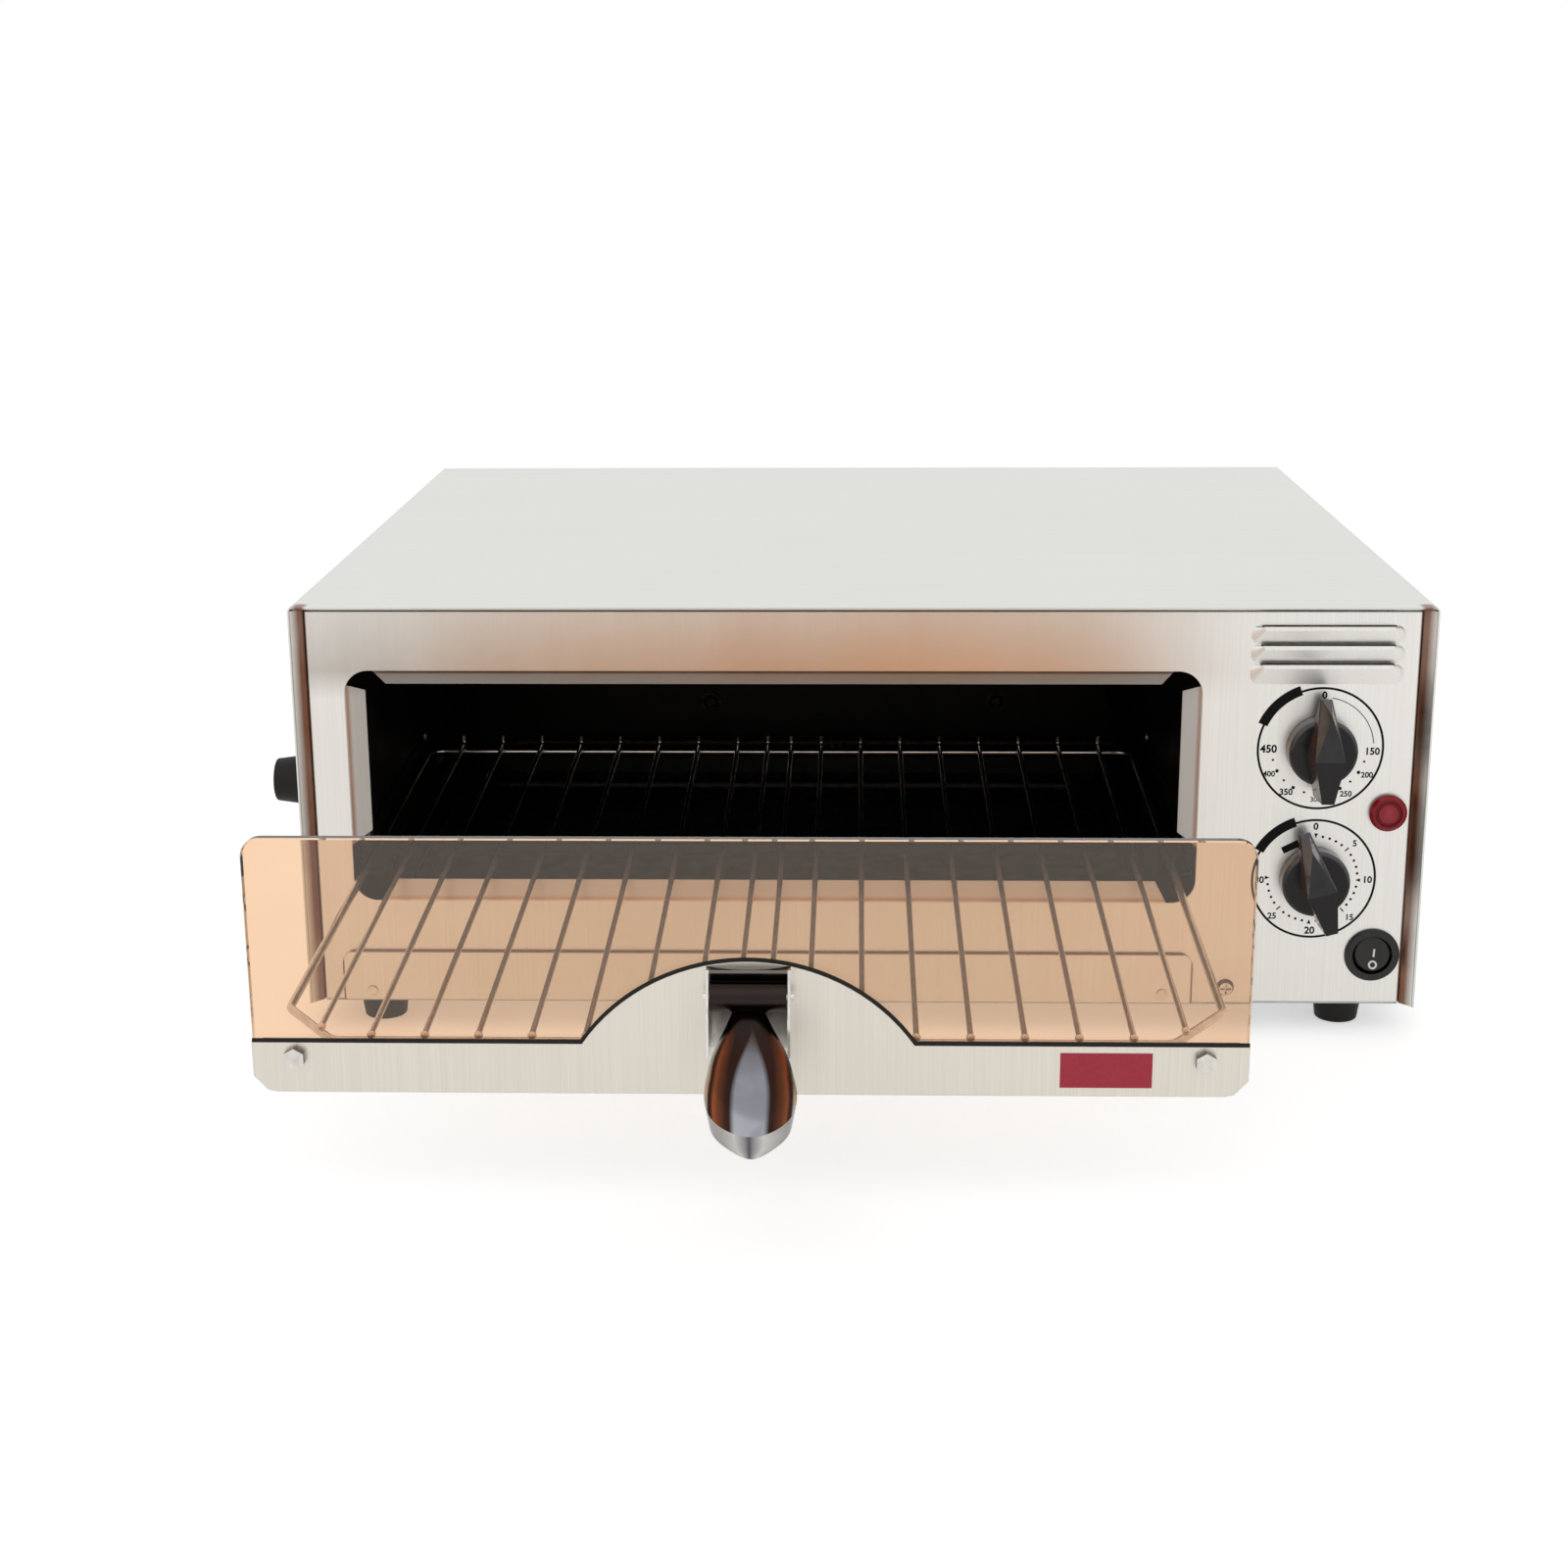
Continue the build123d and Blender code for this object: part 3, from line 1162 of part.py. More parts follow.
foot_spots = [Pos(x, y, 0) for y in foot_y for x in (-foot_x, foot_x)]
bumper_spots = [Pos(-case_hw, y, bumper_z) * Rot(0, 90, 0) for y in bumper_y]
wall_nut_spots = [Pos(x, case_d, rear_screw_z) * Rot(-90, 0, 0) for x in rear_screw_x]
dimple = rod_z(foot_dimple_r, 0, 0, -foot_h - foot_dimple_t, -foot_h)
nodes["feet"] = Compound([p * rubber_foot() for p in foot_spots])
nodes["side_bumpers"] = Compound([p * (rubber_foot() + dimple) for p in bumper_spots])
nodes["foot_studs"] = Compound([p * rod_z(m4_r, 0, 0, 0, stud_reach) for p in foot_spots + bumper_spots])
nodes["hex_nuts"] = Compound([p * Pos(0, 0, sheet) * m4_nut() for p in foot_spots + bumper_spots]
                             + [p * m4_nut() for p in wall_nut_spots])
nodes["panel_screw"] = pan_screw_y(panel_screw_x, panel_screw_z, panel_recess, panel_recess + tap_len, tap_r)
tapping_screw = pan_screw_y(0, 0, 0, tap_len, tap_r)
screw_spots = [Pos(s * case_hw, y, cover_screw_z) * Rot(0, 0, s * 90) for y in cover_screw_y for s in (-1, 1)]
screw_spots += [Pos(x, case_d, rear_fix_z) * Rot(0, 0, 180) for x in rear_fix_x]
nodes["casing_screws"] = Compound([p * tapping_screw for p in screw_spots])

# ================================================================ writing, origin at the footprint's middle
whole = Compound(list(nodes.values())).bounding_box()
home = Pos(-(whole.min.X + whole.max.X) / 2, -(whole.min.Y + whole.max.Y) / 2, -whole.min.Z)
for name, shape in nodes.items():
    export_step(home * shape, "parts/" + name + ".step")
print("size", whole.size, "shift", home.position)
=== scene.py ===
import bmesh
import bpy
import json
import math
from mathutils import Matrix, Vector


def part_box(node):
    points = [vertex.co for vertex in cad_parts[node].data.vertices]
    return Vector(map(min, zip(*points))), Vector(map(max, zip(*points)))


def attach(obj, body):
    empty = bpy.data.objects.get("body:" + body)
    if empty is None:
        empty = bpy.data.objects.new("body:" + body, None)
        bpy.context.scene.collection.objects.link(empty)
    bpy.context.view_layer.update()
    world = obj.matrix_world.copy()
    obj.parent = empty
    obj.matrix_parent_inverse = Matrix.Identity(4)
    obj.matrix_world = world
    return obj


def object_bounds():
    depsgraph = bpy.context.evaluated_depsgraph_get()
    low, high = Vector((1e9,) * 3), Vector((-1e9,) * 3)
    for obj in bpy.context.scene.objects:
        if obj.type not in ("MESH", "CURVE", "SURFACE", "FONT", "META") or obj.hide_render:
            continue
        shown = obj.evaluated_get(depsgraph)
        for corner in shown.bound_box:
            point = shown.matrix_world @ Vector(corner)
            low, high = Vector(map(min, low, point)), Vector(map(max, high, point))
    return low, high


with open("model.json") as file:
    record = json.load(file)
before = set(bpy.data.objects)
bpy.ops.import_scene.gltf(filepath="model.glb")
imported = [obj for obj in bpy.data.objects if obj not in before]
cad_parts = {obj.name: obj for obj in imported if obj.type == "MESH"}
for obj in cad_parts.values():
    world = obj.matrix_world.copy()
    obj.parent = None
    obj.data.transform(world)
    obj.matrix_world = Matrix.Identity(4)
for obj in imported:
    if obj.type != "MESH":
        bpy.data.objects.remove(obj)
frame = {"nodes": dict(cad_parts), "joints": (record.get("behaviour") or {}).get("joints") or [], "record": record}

cad_low, cad_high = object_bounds()
nodes = frame["nodes"]
slot_of = {part["node"]: part["material_slot"] for part in frame["record"]["subparts"]}
joints = {joint["name"]: joint for joint in frame["joints"]}
MM = 0.001


def scene_object(name, data):
    """A new object that holds the data, in the scene."""
    made = bpy.data.objects.new(name, data)
    bpy.context.scene.collection.objects.link(made)
    return made


# ---------------------------------------------------------------- shader helpers
def srgb(red, green, blue):
    """A colour given as 0 to 255 display values, turned linear."""
    def linear(value):
        share = value / 255
        return share / 12.92 if share <= 0.04045 else ((share + 0.055) / 1.055) ** 2.4
    return (linear(red), linear(green), linear(blue), 1.0)


def maths_node(tree, operation, first, second):
    """One Math node; each value is a plain number or an output to link."""
    node = tree.nodes.new("ShaderNodeMath")
    node.operation = operation
    for socket, value in zip(node.inputs, (first, second)):
        if isinstance(value, float):
            socket.default_value = value
        else:
            tree.links.new(value, socket)
    return node.outputs["Value"]


class Finish:
    """A procedural material being built on its own Principled shader, in object coordinates (metres)."""

    def __init__(self, name, **sockets):
        self.material = bpy.data.materials.new(name)
        self.material.use_nodes = True
        self.tree = self.material.node_tree
        self.shader = self.tree.nodes["Principled BSDF"]
        self.output = self.tree.nodes["Material Output"]
        self.place = self.tree.nodes.new("ShaderNodeTexCoord").outputs["Object"]
        self.tone = None
        for socket, value in sockets.items():
            self.shader.inputs[socket.replace("_", " ")].default_value = value

    def add(self, kind, **settings):
        node = self.tree.nodes.new(kind)
        for name, value in settings.items():
            setattr(node, name, value)
        return node

    def link(self, source, target):
        self.tree.links.new(source, target)

    def stretched(self, scale):
        """The place on the object times a scale, which is one number or three."""
        mapping = self.add("ShaderNodeMapping")
        mapping.inputs["Scale"].default_value = scale if isinstance(scale, tuple) else (scale, scale, scale)
        self.link(self.place, mapping.inputs["Vector"])
        return mapping.outputs["Vector"]

    def part_of(self, vector, axis):
        parts = self.add("ShaderNodeSeparateXYZ")
        self.link(vector, parts.inputs["Vector"])
        return parts.outputs[axis]

    def along(self, axis):
        """The object coordinate along "X", "Y" or "Z"."""
        return self.part_of(self.place, axis)

    def facing(self, axis):
        """How far the surface faces along "X", "Y" or "Z", from -1 to 1."""
        return self.part_of(self.place.node.outputs["Normal"], axis)

    def across(self, low, high):
        """Distance to either side of the upright plane midway between two corners."""
        offset = self.maths("SUBTRACT", self.along("X"), (low.x + high.x) / 2)
        return self.maths("ABSOLUTE", offset, 0.0)

    def radius_from(self, centre):
        """Distance from the axis through centre that runs front to back."""
        away = self.add("ShaderNodeVectorMath", operation="DISTANCE")
        away.inputs[1].default_value = (centre.x, 0.0, centre.z)
        self.link(self.stretched((1.0, 0.0, 1.0)), away.inputs[0])
        return away.outputs["Value"]

    def maths(self, operation, first, second):
        return maths_node(self.tree, operation, first, second)

    def product(self, *factors):
        result = factors[0]
        for factor in factors[1:]:
            result = self.maths("MULTIPLY", result, factor)
        return result

    def noise(self, scale, detail=3.0, rough=0.5):
        """Noise of 0 to 1; scale is cycles per metre, one number or one each along x, y and z."""
        texture = self.add("ShaderNodeTexNoise")
        texture.inputs["Scale"].default_value = 1.0
        texture.inputs["Detail"].default_value = detail
        texture.inputs["Roughness"].default_value = rough
        self.link(self.stretched(scale), texture.inputs["Vector"])
        return texture.outputs["Fac"]

    def spread(self, source, low, high, from_low=0.3, from_high=0.7):
        """Goes from low to high while the source goes over its range, which is by default that of a noise."""
        ranged = self.add("ShaderNodeMapRange")
        ranged.inputs["From Min"].default_value = from_low
        ranged.inputs["From Max"].default_value = from_high
        ranged.inputs["To Min"].default_value = low
        ranged.inputs["To Max"].default_value = high
        self.link(source, ranged.inputs["Value"])
        return ranged.outputs["Result"]

    def rising(self, source, start, end):
        """0 up to the start and 1 from the end on."""
        return self.spread(source, 0.0, 1.0, start, end)

    def falling(self, source, start, end):
        """1 up to the start and 0 from the end on."""
        return self.spread(source, 1.0, 0.0, start, end)

    def blend_colours(self, factor, first, second):
        mix = self.add("ShaderNodeMix", data_type="RGBA")
        self.link(factor, mix.inputs["Factor"])
        for socket, value in ((mix.inputs[6], first), (mix.inputs[7], second)):
            if isinstance(value, tuple):
                socket.default_value = value
            else:
                self.link(value, socket)
        return mix.outputs[2]

    def ramp(self, source, stops):
        """Colours at the given shares of the source."""
        node = self.add("ShaderNodeValToRGB")
        self.link(source, node.inputs["Fac"])
        marks = node.color_ramp.elements
        marks[0].position, marks[0].color = stops[0]
        marks[1].position, marks[1].color = stops[-1]
        for share, tone in stops[1:-1]:
            marks.new(share).color = tone
        return node.outputs["Color"]

    def rounded_edges(self, radius):
        """Shades every crisp edge as if it had a small round."""
        edge = self.add("ShaderNodeBevel", samples=4)
        edge.inputs["Radius"].default_value = radius
        self.link(edge.outputs["Normal"], self.shader.inputs["Normal"])

    def colour(self, source):
        """Sets the base colour and keeps it, so that tint can lay more over it."""
        self.tone = source
        self.link(source, self.shader.inputs["Base Color"])

    def mottled(self, noise, first, second, most=1.0):
        """Sets the colour to the first tone where the noise is low and to the second where it is high."""
        self.colour(self.blend_colours(self.spread(noise, 0.0, most), first, second))

    def tint(self, mask, tone):
        """Lays a tone over the colour so far where the mask is 1."""
        self.colour(self.blend_colours(mask, self.tone, tone))

    def roughness(self, source):
        self.link(source, self.shader.inputs["Roughness"])

    def metallic(self, source):
        self.link(source, self.shader.inputs["Metallic"])

    def bump(self, source, height, strength=1.0):
        """Adds relief of that height in metres on top of any relief already there."""
        node = self.add("ShaderNodeBump")
        node.inputs["Distance"].default_value = height
        node.inputs["Strength"].default_value = strength
        self.link(source, node.inputs["Height"])
        normal = self.shader.inputs["Normal"]
        if normal.is_linked:
            self.link(normal.links[0].from_socket, node.inputs["Normal"])
        self.link(node.outputs["Normal"], normal)


# ---------------------------------------------------------------- sheet steel
FINE = 3600.0                                   # cycles per metre across the brushing
LONG = 14.0                                     # and along it
UPRIGHT_GRAIN = (FINE, FINE, LONG)
CROSS_GRAIN = (LONG, FINE, FINE)
WIPES_COARSER = 12
EDGE_ROUND = 0.5 * MM
BRUSH_RELIEF = 0.003 * MM
BRUSHED_ROUGH = (0.33, 0.4)

PANEL_PALE = srgb(228, 226, 221)
PANEL_DARK = srgb(216, 213, 208)
BROWN_STRIP_TINT = srgb(202, 168, 141)
GREY_STRIP_TINT = srgb(179, 172, 164)
BEND_SHADE_TINT = srgb(150, 96, 58)
FOLD_SHADE_TINT = srgb(116, 68, 38)
FLAP_EDGE_SHADE_TINT = srgb(104, 78, 62)

# Tints on the front panel: a greyer and a browner strip above the mouth, and painted brown shade on the bends. The
# heights go from the mouth's top edge, the places across from the cavity's left or right wall, and the depths from
# the panel's face.
MOUTH_BELOW_CAVITY_TOP = 6.5 * MM
STRIP_BELOW = 12 * MM
STRIP_ABOVE = 26 * MM
GREY_STRIP_ENDS_RIGHT = (-60 * MM, 25 * MM)
BROWN_STRIP_STARTS_LEFT = (20 * MM, 190 * MM)
BROWN_STRIP_ENDS_RIGHT = (-90 * MM, 10 * MM)
BEND_STARTS = (0.15 * MM, 0.7 * MM)
BEND_ENDS = (1.1 * MM, 2.2 * MM)
MIRROR_ENDS = (1.0 * MM, 2.0 * MM)

# Painted shade on the cover's folds, along the gap beside the front panel. The places across go inwards from the
# cover's side, the depth back from its front.
FOLD_INNER_SIDE = (3.6 * MM, 1.2 * MM)
FOLD_STARTS = (8.0 * MM, 6.0 * MM)
FOLD_SKIN = (1.0 * MM, 0.3 * MM)
FOLD_DEPTH = (5.0 * MM, 8.0 * MM)

# Width of the painted shade line along the flap's ends and top.
FLAP_EDGE_SHADE_WIDTH = (0.9 * MM, 0.5 * MM)            # inwards from the flap's outline
CAVITY_RELIEF = 0.03 * MM


def brushed(name, pale, dark, grain):
    """Brushed sheet: fine streaks along the grain, softer blotches and a trace of handling marks."""
    steel = Finish(name, Metallic=1.0)
    steel.rounded_edges(EDGE_ROUND)
    streaks = steel.noise(grain, detail=2.0)
    cloudy = steel.noise(18.0, detail=4.0)
    wipes = steel.noise(tuple(value / WIPES_COARSER for value in grain), detail=3.0)
    steel.mottled(streaks, dark, pale)
    steel.tint(steel.spread(cloudy, 0.0, 0.4), dark)
    steel.roughness(steel.maths("ADD", steel.spread(streaks, *BRUSHED_ROUGH),
                                steel.spread(wipes, -0.03, 0.04)))
    steel.bump(streaks, BRUSH_RELIEF, 0.3)
    return steel


def panel_steel():
    """The front panel, with a greyer and a browner strip above the mouth and painted brown shade along its bends.
    """
    steel = brushed("brushed_steel_panel", PANEL_PALE, PANEL_DARK, UPRIGHT_GRAIN)
    cavity_low, cavity_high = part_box("liner_back")
    left, right = cavity_low.x, cavity_high.x
    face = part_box("control_nuts")[1].y
    mouth_top = cavity_high.z - MOUTH_BELOW_CAVITY_TOP
    up, over, depth = (steel.along(axis) for axis in ("Z", "X", "Y"))
    uneven = steel.spread(steel.noise((30.0, 30.0, 12.0), detail=3.0), 0.75, 1.0)
    strip = steel.product(steel.rising(up, mouth_top - STRIP_BELOW, mouth_top),
                          steel.spread(up, 1.0, 0.5, mouth_top, mouth_top + STRIP_ABOVE), uneven)
    smoked = steel.falling(over, *(right + reach for reach in GREY_STRIP_ENDS_RIGHT))
    browner_part = steel.product(steel.rising(over, *(left + reach for reach in BROWN_STRIP_STARTS_LEFT)),
                           steel.falling(over, *(right + reach for reach in BROWN_STRIP_ENDS_RIGHT)))
    bend = steel.product(steel.spread(depth, 0.0, 0.85, *(face + reach for reach in BEND_STARTS)),
                         steel.spread(depth, 1.0, 0.1, *(face + reach for reach in BEND_ENDS)))
    # A greyer strip above the mouth, browner over its middle.
    steel.tint(steel.product(strip, smoked), GREY_STRIP_TINT)
    steel.tint(steel.product(strip, browner_part), BROWN_STRIP_TINT)
    # Painted shade: a dark brown line on the bends where the panel turns back from its face.
    steel.tint(steel.product(bend, uneven), BEND_SHADE_TINT)
    steel.metallic(steel.spread(depth, 1.0, 0.2, *(face + reach for reach in MIRROR_ENDS)))
    return steel


def cover_steel():
    """The wrap-round cover, with painted brown shade along the inner side of the folds beside the front panel."""
    steel = brushed("brushed_steel_cross", srgb(218, 219, 214), srgb(211, 212, 206), CROSS_GRAIN)
    low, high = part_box("wrap_cover")
    half = (high.x - low.x) / 2
    away = steel.across(low, high)
    inner_side = steel.spread(away, 1.0, 0.12, *(half - reach for reach in FOLD_INNER_SIDE))
    on_fold = steel.rising(away, *(half - reach for reach in FOLD_STARTS))
    skin = steel.falling(away, *(half - reach for reach in FOLD_SKIN))
    forward = steel.falling(steel.along("Y"), *(low.y + reach for reach in FOLD_DEPTH))
    uneven = steel.spread(steel.noise((40.0, 40.0, 22.0), detail=3.0), 0.75, 1.0)
    # Painted shade: a dark brown line on the folds' inner side, where the gap to the front panel lies.
    steel.tint(steel.product(on_fold, forward, inner_side, skin, uneven), FOLD_SHADE_TINT)
    return steel


def flap_steel():
    """The crumb tray's flap, with a painted dark shade line along its ends and top edge."""
    steel = brushed("brushed_steel_flap", PANEL_PALE, PANEL_DARK, UPRIGHT_GRAIN)
    low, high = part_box("tray_flap")
    half = (high.x - low.x) / 2
    ends = steel.spread(steel.across(low, high), 0.0, 0.85, *(half - reach for reach in FLAP_EDGE_SHADE_WIDTH))
    top = steel.spread(steel.along("Z"), 0.0, 0.85, *(high.z - reach for reach in FLAP_EDGE_SHADE_WIDTH))
    # Painted shade: a dark line along the flap's ends and top, where it stands out from the panel.
    steel.tint(steel.maths("MAXIMUM", ends, top), FLAP_EDGE_SHADE_TINT)
    return steel


def coated_black():
    """The cavity's dark coating, with a fine grit and smoked patches."""
    coat = Finish("coated_black", Specular_IOR_Level=0.3)
    smoke = coat.noise(14.0, detail=5.0)
    coat.mottled(smoke, srgb(10, 7, 6), srgb(24, 18, 14))
    coat.roughness(coat.spread(smoke, 0.32, 0.5))
    coat.bump(coat.noise(900.0, detail=2.0), CAVITY_RELIEF, 0.3)
    return coat


def zinc_sheet():
    """Galvanised sheet with its spangle."""
    zinc = Finish("zinc_sheet", Metallic=1.0)
    spangle = zinc.add("ShaderNodeTexVoronoi")
    spangle.inputs["Scale"].default_value = 1.0
    zinc.link(zinc.stretched(110.0), spangle.inputs["Vector"])
    zinc.colour(zinc.blend_colours(zinc.rising(spangle.outputs["Distance"], 0.0, 0.8),
                                   srgb(178, 181, 184), srgb(150, 154, 158)))
    zinc.roughness(zinc.spread(zinc.noise(160.0), 0.32, 0.5))
    return zinc


# ---------------------------------------------------------------- plated parts
PLATE_RELIEF = 0.01 * MM
RACK_DULL_REACH = 30 * MM                       # to both sides of the front panel's face
CHEEK_INSIDE = (1.2 * MM, 0.7 * MM)             # inwards from the bracket's sides
BRACKET_DEEP = (0.6 * MM, 1.4 * MM)             # back from its front edge
# Facings at which the screw heads' flanks take painted shade.
FLANK_FACING = (0.55, 0.93)
GRIP_RELIEF = 0.02 * MM
GRIP_STEPS = 24
GRIP_NECK = 0.7                                 # share of the height above which it only narrows
# Where the grip's painted grey highlight and painted floor reflection lie.
HIGHLIGHT_RISE = (0.4, 0.72)
HIGHLIGHT_NARROWS = 0.42
HIGHLIGHT_EDGE = (0.33, 0.44)
FLOOR_REFLECTION_FACING = (0.1, 0.3)
HUB_BELOW_PIN = (12 * MM, 6 * MM)


def plated(name, pale, dark, rough_low, rough_high):
    """Bright plating with faint mottling and fine dust."""
    metal = Finish(name, Metallic=1.0)
    mottle = metal.noise(260.0, detail=4.0)
    metal.mottled(mottle, dark, pale)
    metal.roughness(metal.spread(mottle, rough_low, rough_high))
    metal.bump(metal.noise(1500.0), PLATE_RELIEF, 0.2)
    return metal


def rack_wire():
    """Bright plated wire, dulled where it stays in front of the oven and still a mirror at the rear."""
    metal = plated("rack_wire", srgb(230, 224, 218), srgb(206, 198, 190), 0.12, 0.22)
    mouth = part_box("control_nuts")[1].y
    metal.metallic(metal.spread(metal.along("Y"), 0.6, 1.0, mouth - RACK_DULL_REACH, mouth + RACK_DULL_REACH))
    return metal


def screw_steel():
    """Plated screw and bolt heads, with painted shade on the flanks around their faces."""
    metal = plated("screw_steel", srgb(222, 219, 212), srgb(196, 191, 184), 0.22, 0.38)
    # Painted shade: the flanks, which face sideways, darker than the faces.
    metal.tint(metal.falling(metal.maths("ABSOLUTE", metal.facing("Y"), 0.0), *FLANK_FACING),
               srgb(112, 104, 96))
    return metal


def bracket_chrome():
    """Chrome with painted shade and reflections between the bracket's cheeks, pale low down and darkest near the
    top, and bright on its edges.
    """
    metal = plated("bracket_chrome", srgb(228, 226, 222), srgb(206, 203, 198), 0.1, 0.22)
    low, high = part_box("handle_bracket")
    half = (high.x - low.x) / 2
    inside = metal.falling(metal.across(low, high), *(half - reach for reach in CHEEK_INSIDE))
    deep = metal.rising(metal.along("Y"), *(low.y + reach for reach in BRACKET_DEEP))
    # Painted shade and reflections inside the bracket: pale at the bottom, darkest near the top.
    shade = metal.ramp(metal.rising(metal.along("Z"), low.z, high.z),
                       [(0.0, srgb(176, 174, 170)), (0.3, srgb(128, 124, 119)),
                        (0.55, srgb(66, 60, 55)), (0.9, srgb(44, 39, 36)), (1.0, srgb(120, 116, 112))])
    metal.tint(metal.product(inside, deep), shade)
    return metal


def half_widths(node, count):
    """How far a CAD node reaches to each side of its middle, in even steps from its bottom to its top."""
    low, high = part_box(node)
    reach = [0.0] * count
    for vertex in nodes[node].data.vertices:
        step = min(count - 1, int((vertex.co.z - low.z) / (high.z - low.z) * count))
        reach[step] = max(reach[step], abs(vertex.co.x - (low.x + high.x) / 2))
    return reach


def dark_chrome():
    """Dark mirror plating with its reflections painted on: a painted grey highlight down the top, painted brown
    and copper reflections on the flanks, a painted silver rim and a painted pale floor reflection on the lower
    facets.
    """
    grip = Finish("dark_chrome", Metallic=1.0)
    low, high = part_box("handle_grip")
    reach = half_widths("handle_grip", GRIP_STEPS)
    widest = max(reach)
    outline = []
    for i, half in enumerate(reach):
        share = half / widest
        if i > GRIP_STEPS * GRIP_NECK:
            share = min(share, outline[-1][1][0])
        outline.append(((i + 0.5) / GRIP_STEPS, (share, share, share, 1.0)))
    height = grip.along("Z")
    up = grip.rising(height, low.z, high.z)
    side = grip.maths("DIVIDE", grip.across(low, high), grip.product(grip.ramp(up, outline), widest))
    # Painted reflections across the grip: dark brown flanks, a copper band, then a silver rim along the outline.
    grip.colour(grip.ramp(side, [(0.0, srgb(44, 28, 23)), (0.52, srgb(46, 28, 22)),
                                 (0.7, srgb(96, 52, 32)), (0.79, srgb(128, 70, 42)),
                                 (0.85, srgb(60, 32, 24)), (0.9, srgb(44, 32, 28)),
                                 (0.94, srgb(172, 170, 163)), (1.0, srgb(208, 206, 202))]))
    # Painted grey highlight down the middle of the top, narrowing towards the upper end.
    rise = grip.rising(up, *HIGHLIGHT_RISE)
    narrowing = grip.maths("ADD", side, grip.product(rise, rise, HIGHLIGHT_NARROWS))
    top_highlight = grip.ramp(up, [(0.0, srgb(176, 178, 184)), (0.2, srgb(150, 152, 160)),
                           (0.5, srgb(138, 139, 147)), (0.72, srgb(96, 90, 92))])
    grip.tint(grip.falling(narrowing, *HIGHLIGHT_EDGE), top_highlight)
    # Painted pale reflection of the floor on the facets that face down.
    floor_reflection = grip.ramp(side, [(0.0, srgb(84, 84, 88)), (0.1, srgb(138, 138, 140)),
                            (0.35, srgb(196, 195, 190)), (0.75, srgb(160, 158, 154)),
                            (1.0, srgb(112, 110, 108))])
    flat_normal = grip.add("ShaderNodeNewGeometry").outputs["True Normal"]
    grip.tint(grip.falling(grip.part_of(flat_normal, "Z"), *FLOOR_REFLECTION_FACING), floor_reflection)
    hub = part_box("handle_pin")[0].z
    grip.tint(grip.rising(height, *(hub - below for below in HUB_BELOW_PIN)), srgb(44, 38, 37))
    mottle = grip.noise(70.0, detail=3.0)
    grip.tint(grip.spread(mottle, 0.0, 0.25), srgb(64, 50, 46))
    grip.roughness(grip.spread(mottle, 0.16, 0.24))
    grip.bump(grip.noise(400.0), GRIP_RELIEF, 0.15)
    return grip


# ---------------------------------------------------------------- plastics, glass, wool and ink
FINE_RELIEF = 0.01 * MM
LENS_RELIEF = 0.05 * MM
WOOL_RELIEF = 0.6 * MM
# Facings at which the knobs' painted light and painted brown reflection change.
FACING_UP = (-0.5, 0.5)
FACING_LEFT = (-0.8, -0.3)


def moulded(name, pale, dark, rough_low, rough_high, relief=FINE_RELIEF, shine=0.5):
    """Moulded plastic or rubber with a fine skin and faint uneven gloss."""
    plastic = Finish(name, Specular_IOR_Level=shine)
    uneven = plastic.noise(120.0, detail=4.0)
    plastic.mottled(uneven, dark, pale)
    plastic.roughness(plastic.spread(uneven, rough_low, rough_high))
    plastic.bump(plastic.noise(1800.0, detail=2.0), relief, 0.4)
    return plastic


def knob_plastic():
    """Glossy black plastic with painted light and reflections: paler grey on facets turned up, a painted brown
    reflection on the left ones and painted dark reflection on the disc.
    """
    knob = Finish("knob_plastic", Specular_IOR_Level=0.26)
    # Painted light: facets turned up paler, upright facets and the disc darkest, facets turned down dark grey.
    rise = knob.rising(knob.facing("Z"), *FACING_UP)
    knob.colour(knob.ramp(rise, [(0.0, srgb(50, 48, 54)), (0.42, srgb(42, 40, 44)), (0.5, srgb(20, 15, 13)),
                                 (0.58, srgb(76, 75, 80)), (1.0, srgb(100, 98, 104))]))
    # Painted brown reflection on the facets turned to the left.
    knob.tint(knob.falling(knob.facing("X"), *FACING_LEFT), srgb(80, 60, 50))
    uneven = knob.noise(120.0, detail=4.0)
    knob.tint(knob.spread(uneven, 0.0, 0.35), srgb(20, 19, 20))
    knob.roughness(knob.spread(uneven, 0.12, 0.22))
    knob.bump(knob.noise(1800.0, detail=2.0), FINE_RELIEF, 0.4)
    return knob


def bronze_glass():
    """Clear bronze glass with faint smears, which lets light through to what stands behind it."""
    glass = Finish("bronze_glass", Transmission_Weight=1.0, IOR=1.5)
    smear = glass.noise(35.0, detail=4.0)
    glass.mottled(smear, srgb(241, 202, 167), srgb(244, 206, 172))
    glass.roughness(glass.spread(smear, 0.0, 0.02))
    rays = glass.add("ShaderNodeLightPath")
    clear = glass.add("ShaderNodeBsdfTransparent")
    clear.inputs["Color"].default_value = srgb(252, 236, 220)
    pick = glass.add("ShaderNodeMixShader")
    glass.link(rays.outputs["Is Shadow Ray"], pick.inputs["Fac"])
    glass.link(glass.shader.outputs["BSDF"], pick.inputs[1])
    glass.link(clear.outputs["BSDF"], pick.inputs[2])
    glass.link(pick.outputs["Shader"], glass.output.inputs["Surface"])
    return glass


